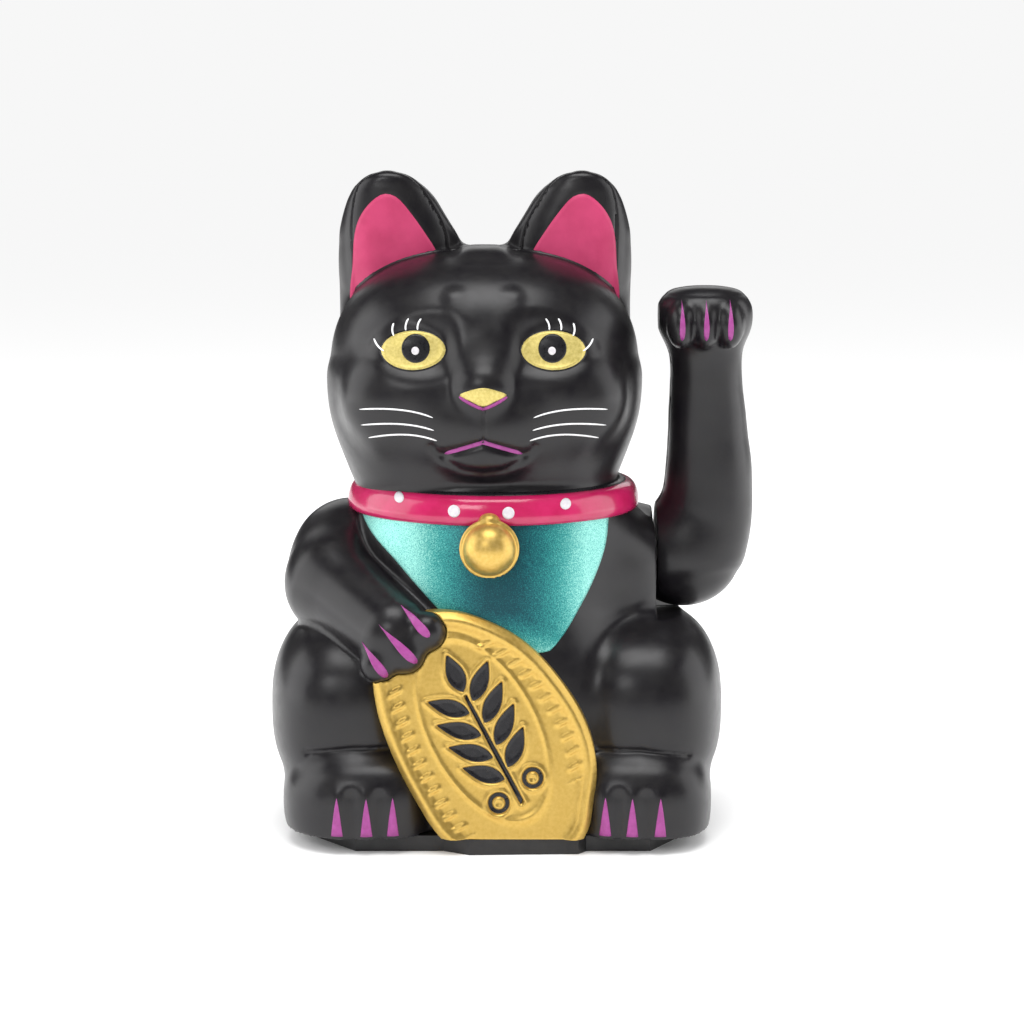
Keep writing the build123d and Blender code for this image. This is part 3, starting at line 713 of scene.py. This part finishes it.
def stamp_height(across, along):
    """Relief of the sprig and rings: a raised lip round a sunken shape."""
    lip = np.full(len(across), 9.0)
    for outline in SPRIG:
        lip = np.minimum(lip, outline_distance(across, along, outline))
    for u, v in RINGS:
        lip = np.minimum(lip, np.abs(np.hypot(across - u, along - v) - RING_RADIUS) - 0.45)
    return 0.38 * np.exp(-((lip - 0.55) / 0.42) ** 2) - 0.45 * np.clip((0.15 - lip) / 0.35, 0, 1)


def coin_relief(x, z, across, along):
    """Height of the coin's face above its flat level."""
    edge = outline_distance(x, z, COIN_EDGE)
    rim = 0.75 * np.exp(-((edge + 1.9) / 1.25) ** 2)
    ticks = np.clip(np.sin(along * 2 * math.pi / TICK_PITCH) - 0.1, 0, 1) * np.exp(-((edge + 4.7) / 1.5) ** 4)
    ticks *= 0.55 * (np.abs(along) < 18.5)
    oval = np.hypot(across / COIN_OVAL[0], (along - 1.0) / COIN_OVAL[1])
    inner = 0.4 * np.exp(-((oval - 1.0) / 0.04) ** 2)
    sunk = 0.3 * np.clip((-edge - 2.8) / 1.2, 0, 1)
    shape = rim + ticks + inner - sunk
    middle = edge < -5.0
    shape[middle] += stamp_height(across[middle], along[middle])
    return shape


def coin_field(p):
    """Oval coin: raised rim with ticks, sunken face, stamped leaf sprig."""
    depth = p[:, 1] - COIN_TILT * (p[:, 2] - 10.0)
    across, along = coin_axes(p)
    relief = np.zeros(len(p), np.float32)
    edge = outline_distance(p[:, 0], p[:, 2], COIN_EDGE).astype(np.float32)
    front = np.abs(depth - COIN_FACE) < 2.5
    relief[front] = coin_relief(p[front, 0], p[front, 2], across[front], along[front])
    curl = 0.5 * np.clip(edge + 1.8, 0, 1.8) ** 2 / 1.8
    d = np.maximum(edge, np.maximum(COIN_FACE - relief + curl - depth, depth - COIN_BACK))
    d = np.maximum(d, PLATE_TOP + PLATE_GAP - p[:, 2])
    return np.maximum(d, 0.05 - resting_arm_field(p))


# ---- thin painted films

RAY = np.float32((0, 1, 0))
RAY_START = -60.0       # in front of the cat
RAY_MOST = 60.0
RAY_STEPS = 60


def cast(field, starts):
    """Points where rays towards +Y first meet a field."""
    travel = np.zeros(len(starts), np.float32)
    for _ in range(RAY_STEPS):
        travel += np.clip(field(starts + travel[:, None] * RAY), -1.0, 6.0) * 0.8
        travel = np.minimum(travel, RAY_MOST)
    return starts + travel[:, None] * RAY


def film(name, field, grid, body, material, lift=0.12, sink=0.35, closed=False):
    """Thin closed patch laid on a field; grid holds rows of X and Z positions."""
    rows, cols = grid.shape[:2]
    count = rows * cols
    flat = grid.reshape(-1, 2)
    starts = np.stack([flat[:, 0], np.full(count, RAY_START), flat[:, 1]], -1).astype(np.float32)
    points = cast(field, starts)
    normal = slope(field, points)
    normal /= np.maximum(length(normal), 1e-6)[:, None]
    top, under = points + normal * lift, points - normal * sink
    faces = []
    for i in range(rows - 1):
        for j in range(cols if closed else cols - 1):
            a, b = i * cols + j, i * cols + (j + 1) % cols
            quad = [a, b, b + cols, a + cols]
            faces.append(quad)
            faces.append([v + count for v in reversed(quad)])
    if closed:
        faces.append(list(reversed(range(cols))))
        faces.append([v + count for v in range(cols)])
        border = list(range(count - 1, count - cols - 1, -1))
    else:
        first_row, last_row = list(range(cols)), list(range(count - 2, count - cols - 1, -1))
        last_column = [(i + 1) * cols - 1 for i in range(1, rows)]
        first_column = [i * cols for i in range(rows - 2, 0, -1)]
        border = first_row + last_column + last_row + first_column
    for a, b in zip(border, border[1:] + border[:1]):
        faces.append([b, a, a + count, b + count])
    obj = make_object(name, np.concatenate([top, under]), faces, body, material)
    bpy.context.view_layer.objects.active = obj
    bpy.ops.object.mode_set(mode="EDIT")
    bpy.ops.mesh.select_all(action="SELECT")
    bpy.ops.mesh.normals_make_consistent(inside=False)
    bpy.ops.object.mode_set(mode="OBJECT")


def even(outline, count):
    """Closed outline with its points spread evenly."""
    ring = np.concatenate([outline, outline[:1]])
    reach = np.concatenate([[0], np.cumsum(np.hypot(*np.diff(ring, axis=0).T))])
    spots = np.linspace(0, reach[-1], count, endpoint=False)
    return np.stack([np.interp(spots, reach, ring[:, i]) for i in (0, 1)], -1)


def disc_grid(outline, rings, middle=None):
    """Rings of points that fill a closed outline from its middle outwards."""
    outline = even(np.array(outline, float), max(32, len(outline)))
    middle = outline.mean(0) if middle is None else np.array(middle, float)
    shares = np.concatenate([[0.04], np.linspace(0, 1, rings + 1)[1:]])
    return np.stack([middle + share * (outline - middle) for share in shares])


def patch(name, field, outline, material, lift=0.14, rings=4, middle=None, sink=0.35, body=BODY):
    """Film that fills a closed outline."""
    film(name, field, disc_grid(outline, rings, middle), body, material, lift, sink, closed=True)


def stroke_grid(points, width, per):
    """Strip of points along a smooth bow through three points, narrowing at its ends."""
    points = np.array(points, float)
    t = np.linspace(0, 1, per * (len(points) - 1) + 1)
    knots = np.linspace(0, 1, len(points))
    line = np.stack([np.polyval(np.polyfit(knots, points[:, i], 2), t) for i in (0, 1)], -1)
    along = np.gradient(line, axis=0)
    along /= np.hypot(along[:, 0], along[:, 1])[:, None]
    sideways = np.stack([-along[:, 1], along[:, 0]], -1)
    half = width / 2 * np.sqrt(np.clip(1 - (2 * t - 1) ** 8, 0.02, 1))
    return np.stack([line + sideways * (half * share)[:, None] for share in (-1, 0, 1)])


def bent_strip(points, width, per=12):
    """Strip along straight runs, with round ends."""
    points = np.array(points, float)
    reach = np.concatenate([[0], np.cumsum(np.hypot(*np.diff(points, axis=0).T))])
    t = np.linspace(0, reach[-1], per * (len(points) - 1) + 1)
    line = np.stack([np.interp(t, reach, points[:, i]) for i in (0, 1)], -1)
    run = t / reach[-1]
    half = width / 2 * np.sqrt(np.clip(1 - (2 * run - 1) ** 16, 0.05, 1))
    return np.stack([line + (0, 1) * (half * share)[:, None] for share in (-1, 0, 1)])


def teardrop(tip, end, width, count=28):
    """Closed claw outline from a sharp tip to a round end."""
    tip, end = np.array(tip, float), np.array(end, float)
    along = end - tip
    reach = np.hypot(*along)
    along /= reach
    sideways = np.array([-along[1], along[0]])
    angle = np.linspace(0, 2 * math.pi, count, endpoint=False)
    run = (1 - np.cos(angle)) / 2
    breadth = np.sin(angle) * width / 2 * run ** 0.9 * 1.35
    return tip + along * (run * reach)[:, None] + sideways * breadth[:, None]


def spike(x, top, foot, width, count=12):
    """Closed claw outline from a sharp tip to a straight wide foot."""
    t = np.linspace(0, 1, count)
    half = width / 2 * t ** 0.75
    z = top + (foot - top) * t
    left, right = np.stack([x - half, z], -1), np.stack([x + half, z], -1)
    return np.concatenate([left, right[:0:-1]])


def ellipse(middle, radii, count=40, lean=0.0, point=1.0):
    """Closed ellipse outline; point above 1 sharpens its two side tips."""
    angle = np.linspace(0, 2 * math.pi, count, endpoint=False)
    x = np.cos(angle) * radii[0]
    z = np.sign(np.sin(angle)) * np.abs(np.sin(angle)) ** point * radii[1]
    c, s = math.cos(lean), math.sin(lean)
    return np.stack([middle[0] + x * c - z * s, middle[1] + x * s + z * c], -1)


# ---- materials

class Paint:
    """Small helper that wires a Principled material."""

    def __init__(self, name, colour, rough, metal=0.0, coat=0.0, coat_rough=0.1, specular=0.5):
        self.material = bpy.data.materials.new(name)
        self.material.use_nodes = True
        self.nodes = self.material.node_tree.nodes
        self.links = self.material.node_tree.links
        self.shader = self.nodes["Principled BSDF"]
        self.shader.inputs["Base Color"].default_value = (*colour, 1.0)
        self.shader.inputs["Roughness"].default_value = rough
        self.shader.inputs["Metallic"].default_value = metal
        self.shader.inputs["Coat Weight"].default_value = coat
        self.shader.inputs["Coat Roughness"].default_value = coat_rough
        self.shader.inputs["Specular IOR Level"].default_value = specular
        self.place = self.nodes.new("ShaderNodeTexCoord").outputs["Object"]

    def noise(self, size_mm, detail=3.0):
        """Noise whose grains are about size_mm wide."""
        node = self.nodes.new("ShaderNodeTexNoise")
        node.inputs["Scale"].default_value = 1.0 / (size_mm * MM)
        node.inputs["Detail"].default_value = detail
        node.inputs["Roughness"].default_value = 0.55
        self.links.new(self.place, node.inputs["Vector"])
        return node.outputs["Fac"]

    def spread(self, value, low, high, start=0.3, end=0.7):
        """Map a value onto a range."""
        node = self.nodes.new("ShaderNodeMapRange")
        for socket, number in (("From Min", start), ("From Max", end), ("To Min", low), ("To Max", high)):
            node.inputs[socket].default_value = number
        self.links.new(value, node.inputs["Value"])
        return node.outputs["Result"]

    def maths(self, operation, first, second=None):
        """Result of a maths node; the second value may be a plain number or left out."""
        node = self.nodes.new("ShaderNodeMath")
        node.operation = operation
        self.links.new(first, node.inputs[0])
        if isinstance(second, float):
            node.inputs[1].default_value = second
        elif second is not None:
            self.links.new(second, node.inputs[1])
        return node.outputs[0]

    def axes(self):
        """The three coordinates of a place on the object."""
        node = self.nodes.new("ShaderNodeSeparateXYZ")
        self.links.new(self.place, node.inputs["Vector"])
        return node.outputs

    def vary_rough(self, size_mm, low, high):
        """Roughness that wanders between two values."""
        self.links.new(self.spread(self.noise(size_mm), low, high), self.shader.inputs["Roughness"])
        return self

    def relief(self, height, distance):
        """Surface pushed in and out by a value."""
        node = self.nodes.new("ShaderNodeBump")
        node.inputs["Strength"].default_value = 1.0
        node.inputs["Distance"].default_value = distance
        self.links.new(height, node.inputs["Height"])
        self.links.new(node.outputs["Normal"], self.shader.inputs["Normal"])

    def bump(self, size_mm, height_mm, detail=3.0):
        """Fine surface grain."""
        self.relief(self.noise(size_mm, detail), height_mm * MM)
        return self

    def mottle(self, tones, size_mm):
        """Base colour that wanders between two tones."""
        mix = self.nodes.new("ShaderNodeMix")
        mix.data_type = "RGBA"
        for socket, tone in zip("AB", tones):
            mix.inputs[socket].default_value = (*tone, 1.0)
        self.links.new(self.spread(self.noise(size_mm, 4.0), 0.0, 1.0, 0.35, 0.65), mix.inputs["Factor"])
        self.links.new(mix.outputs["Result"], self.shader.inputs["Base Color"])

    def colour_by(self, value, stops):
        """Base colour from a value, by a ramp."""
        node = self.nodes.new("ShaderNodeValToRGB")
        elements = node.color_ramp.elements
        while len(elements) < len(stops):
            elements.new(0.5)
        for element, (spot, colour) in zip(elements, stops):
            element.position = spot
            element.color = (*colour, 1.0)
        self.links.new(value, node.inputs["Fac"])
        self.links.new(node.outputs["Color"], self.shader.inputs["Base Color"])


def painted(name, colour, rough, wander, grain, tones=None, tone_size=1.0, **finish):
    """Material with wandering roughness, fine grain and, where given, two mottled tones."""
    paint = Paint(name, colour, rough, **finish).vary_rough(*wander).bump(*grain)
    if tones is not None:
        paint.mottle(tones, tone_size)
    return paint.material


def make_materials():
    """Every material: name, colour, roughness, its wander, grain and tones, sizes in millimetres."""
    return {
        "shell": painted("black_satin_shell", (0.008, 0.007, 0.009), 0.34, (3.0, 0.31, 0.39), (0.9, 0.006),
                         ((0.006, 0.005, 0.007), (0.010, 0.009, 0.010)), 6.0,
                         coat=0.1, coat_rough=0.25, specular=0.42),
        "base": painted("black_base_plastic", (0.012, 0.012, 0.013), 0.42, (1.5, 0.36, 0.50), (0.35, 0.008),
                        ((0.010, 0.010, 0.011), (0.017, 0.016, 0.017)), 4.0),
        "collar": painted("glossy_pink_paint", (0.46, 0.013, 0.09), 0.22, (4.0, 0.16, 0.26), (1.6, 0.02),
                          ((0.42, 0.010, 0.075), (0.49, 0.015, 0.10)), 5.0, coat=0.4, coat_rough=0.06),
        "ear": painted("matte_pink_paint", (0.48, 0.03, 0.12), 0.55, (2.0, 0.48, 0.62), (0.4, 0.01),
                       ((0.41, 0.016, 0.09), (0.49, 0.028, 0.12)), 7.0),
        "gold": painted("gold_paint", (0.64, 0.42, 0.10), 0.36, (0.8, 0.32, 0.42), (0.25, 0.004),
                        ((0.61, 0.395, 0.09), (0.68, 0.46, 0.12)), 0.8, metal=0.8),
        "bell": painted("gold_bell_paint", (0.70, 0.47, 0.13), 0.36, (0.8, 0.36, 0.44), (0.25, 0.003),
                        ((0.64, 0.42, 0.10), (0.72, 0.49, 0.14)), 0.8, metal=0.8),
        "eye": painted("yellow_gold_paint", (0.60, 0.46, 0.09), 0.42, (0.6, 0.36, 0.5), (0.25, 0.01),
                       ((0.56, 0.45, 0.12), (0.70, 0.58, 0.20)), 0.6, metal=0.45),
        "claw": painted("magenta_paint", (0.33, 0.045, 0.25), 0.4, (0.8, 0.34, 0.46), (0.3, 0.008),
                        ((0.27, 0.035, 0.20), (0.34, 0.05, 0.26)), 1.5),
        "white": painted("white_paint", (0.85, 0.85, 0.86), 0.4, (0.5, 0.34, 0.48), (0.3, 0.008),
                         ((0.78, 0.78, 0.80), (0.90, 0.90, 0.90)), 1.0),
        "ink": painted("black_paint", (0.006, 0.006, 0.008), 0.3, (0.6, 0.24, 0.38), (0.3, 0.006),
                       ((0.005, 0.005, 0.007), (0.010, 0.009, 0.012)), 1.0),
        "dot": painted("pale_grey_paint", (0.60, 0.58, 0.61), 0.35, (0.5, 0.3, 0.4), (0.3, 0.006),
                       ((0.56, 0.53, 0.57), (0.66, 0.64, 0.66)), 1.0),
        "steel": painted("drawn_steel", (0.56, 0.56, 0.57), 0.28, (0.8, 0.2, 0.36), (0.3, 0.004), metal=1.0),
        "weight": painted("rolled_steel", (0.32, 0.31, 0.31), 0.45, (1.2, 0.36, 0.56), (0.6, 0.02),
                          metal=1.0),
        "magnet": painted("nickel_plating", (0.70, 0.68, 0.64), 0.16, (1.5, 0.12, 0.22), (0.5, 0.003),
                          metal=1.0),
        "frame": painted("cream_plastic", (0.72, 0.69, 0.60), 0.45, (2.0, 0.38, 0.52), (0.5, 0.01)),
        "bobbin": painted("white_plastic", (0.78, 0.77, 0.73), 0.4, (2.0, 0.34, 0.46), (0.4, 0.008)),
        "board": painted("board_laminate", (0.42, 0.28, 0.10), 0.5, (1.0, 0.42, 0.58), (0.5, 0.01),
                         ((0.36, 0.23, 0.08), (0.47, 0.33, 0.13)), 1.5),
        "chip": painted("moulded_epoxy", (0.015, 0.015, 0.016), 0.55, (0.4, 0.48, 0.62), (0.12, 0.006)),
        "can": painted("capacitor_sleeve", (0.03, 0.04, 0.09), 0.3, (1.0, 0.25, 0.38), (0.6, 0.006)),
        "red": painted("red_lead", (0.50, 0.02, 0.02), 0.4, (1.0, 0.34, 0.46), (0.4, 0.01)),
        "black": painted("black_lead", (0.02, 0.02, 0.02), 0.4, (1.0, 0.34, 0.46), (0.4, 0.01)),
        "teal": teal_material(), "copper": copper_material(), "cell": cell_material(),
    }


def teal_material():
    """Metallic teal flake paint whose colour carries painted shade, darkest in the middle of the bib, and
    painted reflection, palest towards its sides and bottom.
    """
    paint = Paint("teal_flake_paint_with_painted_shade", (0.05, 0.4, 0.42), 0.38, metal=0.35)
    paint.vary_rough(0.5, 0.30, 0.50).bump(0.18, 0.02, detail=2.0)
    place = paint.axes()
    # Painted shade and painted reflection: the colour darkens towards the middle of the bib and lightens
    # towards its sides and bottom; only the fine specks are the flake's own random tone
    away = paint.maths("ABSOLUTE", paint.maths("ADD", place["X"], -0.001))
    reach = paint.spread(away, 0.0, 0.9, 0.003, 0.019)
    painted_bottom_reflection = paint.spread(place["Z"], 0.75, 0.0, 0.045, 0.054)
    speck = paint.spread(paint.noise(0.22, 2.0), -0.28, 0.28)
    shade = paint.maths("ADD", paint.maths("MAXIMUM", reach, painted_bottom_reflection), speck)
    paint.colour_by(shade, [(0.0, (0.002, 0.055, 0.075)), (0.3, (0.006, 0.13, 0.15)),
                            (0.65, (0.04, 0.34, 0.32)), (1.0, (0.32, 0.72, 0.64))])
    return paint.material


def copper_material():
    """Enamelled winding: fine rings round the coil."""
    paint = Paint("enamelled_copper", (0.55, 0.20, 0.07), 0.3, metal=0.9)
    wave = paint.nodes.new("ShaderNodeTexWave")
    wave.bands_direction = "Z"
    wave.inputs["Scale"].default_value = 900.0
    wave.inputs["Distortion"].default_value = 1.0
    paint.links.new(paint.place, wave.inputs["Vector"])
    paint.relief(wave.outputs["Fac"], 0.0001)
    return paint.material


def cell_material():
    """Shrink-wrapped cell: plain coloured sleeve with a gold band and a pale edge at its front end."""
    green, gold = (0.05, 0.16, 0.07), (0.62, 0.45, 0.12)
    paint = Paint("cell_sleeve", green, 0.25, metal=0.3).vary_rough(2.0, 0.2, 0.32).bump(1.0, 0.008)
    along = paint.spread(paint.axes()["Y"], 0.0, 1.0, -0.026, 0.026)
    paint.colour_by(along, [(0.0, (0.62, 0.62, 0.60)), (0.04, gold), (0.20, gold), (0.21, green)])
    return paint.material


NODE_MATERIALS = {
    "base_plate": "base", "battery_door": "base", "battery_cell": "cell", "battery_spring_contact": "magnet",
    "battery_plate_contact": "magnet", "mechanism_frame": "frame", "axle": "steel", "axle_clip": "steel",
    "pendulum_lever": "frame", "balance_weight": "weight", "magnet": "magnet", "coil_bobbin": "bobbin",
    "drive_coil": "copper", "circuit_board": "board", "driver_chip": "chip", "capacitor": "can",
    "lead_red": "red", "lead_black": "black", "base_screws": "steel", "frame_screws": "steel",
    "board_screws": "steel",
}


# ---- pieces

def build_body(paints):
    """The two hollow body shells."""
    for side, half in ((-1, "front"), (1, "back")):
        low = (-55, -45 if side < 0 else -1.2, 1.5)
        high = (55, 1.2 if side < 0 else 50, 152)
        straighten = lambda points, side=side: square_seam(points, body_field, side, STEP_BODY)
        field = shell_field(side)
        obj = sculpt("shell_" + half, field, low, high, STEP_BODY, BODY, paints["shell"], straighten)
        thin_inside(obj, body_field, WALL, INSIDE_KEEP)
        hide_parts(half + "_shell")


def build_arm(paints):
    """The two hollow halves of the waving arm, meshed with their leaning seam turned upright."""
    c, s = math.cos(ARM_LEAN), math.sin(ARM_LEAN)
    turn = np.array([(1, 0, 0), (0, c, -s), (0, s, c)])
    pivot = np.float32((0, 0, AXIS_Z))
    upright = lambda field: lambda p: field(p @ turn.T.astype(np.float32) + pivot)
    for side, half in ((-1, "front"), (1, "back")):
        low = (34, -18 if side < 0 else -1.0, -15)
        high = (62, 1.0 if side < 0 else 16, 68)
        inner = upright(arm_half_field(side))
        points, faces = surface_net(inner, low, high, STEP_ARM)
        points = square_seam(settle(inner, points), upright(arm_field), side, STEP_ARM) @ turn.T + pivot
        obj = make_object("arm_shell_" + half, points, faces, ARM, paints["shell"])
        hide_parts("arm_%s_half" % half)


def build_eye(paints, side, tag):
    """One painted eye with its pupil and spark."""
    spot = (HEAD_X + side * EYE_OUT, EYE_Z)
    pupil = (spot[0] + (0.5 if side < 0 else -0.2), EYE_Z + 0.4)
    spark = (pupil[0] - 0.1, pupil[1] - 0.5)
    lean = -side * 0.02
    for name, outline, paint, lift, rings in (
            ("eye_outline_", ellipse(spot, (7.5, 4.6), point=1.05, lean=lean), "ink", 0.05, 8),
            ("eye_yellow_", ellipse(spot, (7.15, 4.25), point=1.05, lean=lean), "eye", 0.10, 8),
            ("pupil_", ellipse(pupil, (3.1, 3.15)), "ink", 0.16, 8),
            ("eye_spark_", ellipse(spark, (0.85, 0.9), 20), "dot", 0.22, 3)):
        patch(name + tag, head_field, outline, paints[paint], lift, rings)


def build_face(paints):
    """Painted eyes, lashes, whiskers, nose and mouth."""
    for side, tag in SIDES:
        build_eye(paints, side, tag)
        for kind, lines, width, per in (("lash", LASHES, 0.36, 10), ("whisker", WHISKERS, 0.34, 16)):
            for index, line in enumerate(lines):
                grid = stroke_grid(on_head(line, side), width, per)
                film("%s_%s_%d" % (kind, tag, index), head_field, grid, BODY, paints["white"])
    patch("nose_tip", head_field, rounded(NOSE, 48) + (HEAD_X, 0), paints["eye"], 0.12, 8)
    film("nose_edge", head_field, bent_strip(on_head(NOSE_EDGE), 0.75), BODY, paints["claw"], 0.18)
    film("mouth_line", head_field, bent_strip(on_head(MOUTH), 0.95), BODY, paints["claw"], 0.18)


def build_paint(paints):
    """Ear linings, bib and claws."""
    for side, tag in SIDES:
        lining = lambda p, side=side: ear_field(p, side)
        middle = (HEAD_X + side * 22, 130)
        patch("ear_lining_" + tag, lining, on_head(EAR_INSET, side), paints["ear"], 0.12, 14, middle, 0.5)
    patch("bib", body_field, BIB, paints["teal"], 0.14, 40, (-1, 64), 0.6)
    for index, (tip, end) in enumerate(RESTING_CLAWS):
        patch("claw_resting_%d" % index, body_field, teardrop(tip, end, 2.2), paints["claw"])
    for (_, foot), toes in zip(SIDES, FOOT_TOES):
        for index, x in enumerate(toes):
            patch("claw_%s_foot_%d" % (foot, index), body_field, spike(x, 13.0, 4.4, 2.5), paints["claw"])
    for index, x in enumerate(ARM_TOES):
        claw = teardrop((x, 121.2), (x, 112.2), 1.35)
        patch("claw_waving_%d" % index, arm_field, claw, paints["claw"], body=ARM)


def build_collar(paints):
    """Collar with its black edge and painted dots, and the bell."""
    edge = lambda p: ring_field(p, 1.6, 3.9, -0.9)
    sculpt("collar_band", collar_field, *COLLAR_BOX, STEP_COLLAR, BODY, paints["collar"])
    sculpt("collar_edge", edge, *COLLAR_BOX, STEP_COLLAR_EDGE, BODY, paints["ink"])
    for index, (x, z, radius) in enumerate(COLLAR_DOTS):
        dot = ellipse((x, z), (radius, radius), 20)
        patch("collar_dot_%d" % index, collar_field, dot, paints["dot"], 0.08, 3)
    sculpt("bell_dome", bell_field, (-10, -42, 59), (7, -27, 77), STEP_BELL, BODY, paints["bell"])


def build_coin(paints):
    """Gold coin, with black paint in the stamped shapes."""
    sculpt("coin_gold", coin_field, (-30, -44, 2), (26, -32, 56), STEP_COIN, BODY, paints["gold"])
    for index, outline in enumerate(SPRIG):
        patch("coin_leaf_%d" % index, coin_field, coin_spot(*outline.T), paints["ink"], 0.05)
    circle = ellipse((0, 0), (1.0, 1.0), 28)
    circle = np.concatenate([circle, circle[:1]])
    for index, (u, v) in enumerate(RINGS):
        radii = (RING_RADIUS - 0.4, RING_RADIUS, RING_RADIUS + 0.4)
        grid = np.stack([coin_spot(*(circle * radius + (u, v)).T) for radius in radii])
        film("coin_ring_%d" % index, coin_field, grid, BODY, paints["ink"], 0.05)


def dress_nodes(paints):
    """Procedural materials for the CAD nodes that stay."""
    for node, paint in NODE_MATERIALS.items():
        mesh = frame["nodes"][node].data
        mesh.materials.clear()
        mesh.materials.append(paints[paint])


# ---- stage, light and camera

def build_floor():
    """Wide pale floor."""
    mesh = bpy.data.meshes.new("floor")
    half = 30.0
    corners = [(-half, -half, 0), (half, -half, 0), (half, half, 0), (-half, half, 0)]
    mesh.from_pydata(corners, [], [(0, 1, 2, 3)])
    floor = bpy.data.objects.new("floor", mesh)
    bpy.context.scene.collection.objects.link(floor)
    floor.data.materials.append(Paint("pale_floor", (0.93, 0.93, 0.93), 0.9, specular=0.0).material)


def build_world():
    """White surroundings, bright to the camera and to diffuse light but dim in reflections."""
    world = bpy.data.worlds.new("studio")
    bpy.context.scene.world = world
    world.use_nodes = True
    nodes, links = world.node_tree.nodes, world.node_tree.links
    path = nodes.new("ShaderNodeLightPath")
    dim = nodes["Background"]
    dim.inputs["Color"].default_value = (1.0, 1.0, 1.0, 1.0)
    dim.inputs["Strength"].default_value = 0.06
    result = dim.outputs["Background"]
    for ray, strength in (("Is Diffuse Ray", 1.0), ("Is Camera Ray", 0.93)):
        white = nodes.new("ShaderNodeBackground")
        white.inputs["Color"].default_value = (1.0, 1.0, 1.0, 1.0)
        white.inputs["Strength"].default_value = strength
        mix = nodes.new("ShaderNodeMixShader")
        links.new(path.outputs[ray], mix.inputs["Fac"])
        links.new(result, mix.inputs[1])
        links.new(white.outputs["Background"], mix.inputs[2])
        result = mix.outputs["Shader"]
    links.new(result, nodes["World Output"].inputs["Surface"])
    bpy.context.scene.view_settings.view_transform = "Standard"


def add_light(name, spot, aim, size, power):
    """Soft box that points at a spot."""
    data = bpy.data.lights.new(name, "AREA")
    data.shape = "RECTANGLE"
    data.size, data.size_y = size
    data.energy = power
    lamp = bpy.data.objects.new(name, data)
    bpy.context.scene.collection.objects.link(lamp)
    lamp.location = spot
    lamp.rotation_euler = (Vector(aim) - Vector(spot)).to_track_quat("-Z", "Y").to_euler()


def build_lights():
    """Soft boxes at both sides, overhead, in front and, weaker, behind."""
    middle = (0, 0, 0.08)
    add_light("box_left", (-0.85, 0.0, 0.34), middle, (0.8, 0.8), 4.4)
    add_light("box_right", (0.85, 0.05, 0.32), middle, (0.8, 0.8), 3.6)
    add_light("box_top", (0.0, -0.25, 0.95), middle, (0.6, 0.5), 4.6)
    add_light("box_back", (0.0, 0.9, 0.55), middle, (1.0, 0.5), 1.7)
    add_light("box_front", (-0.45, -1.25, 0.8), middle, (0.5, 0.4), 3.4)


CAMERA_SPOT = (0.0035, -0.600, 0.150)
CAMERA_PITCH = math.radians(7.5)
CAMERA_SENSOR = 36.0
CAMERA_LENS = 91.23


def build_camera():
    """Camera slightly above the cat, looking down at it."""
    data = bpy.data.cameras.new("camera")
    data.sensor_width = CAMERA_SENSOR
    data.lens = CAMERA_LENS
    camera = bpy.data.objects.new("camera", data)
    bpy.context.scene.collection.objects.link(camera)
    camera.location = CAMERA_SPOT
    camera.rotation_euler = (math.pi / 2 - CAMERA_PITCH, 0, 0)
    data.clip_start = 0.01
    bpy.context.scene.camera = camera


paints = make_materials()
build_body(paints)
build_arm(paints)
build_collar(paints)
build_coin(paints)
build_face(paints)
build_paint(paints)
dress_nodes(paints)
build_floor()
build_world()
build_lights()
build_camera()
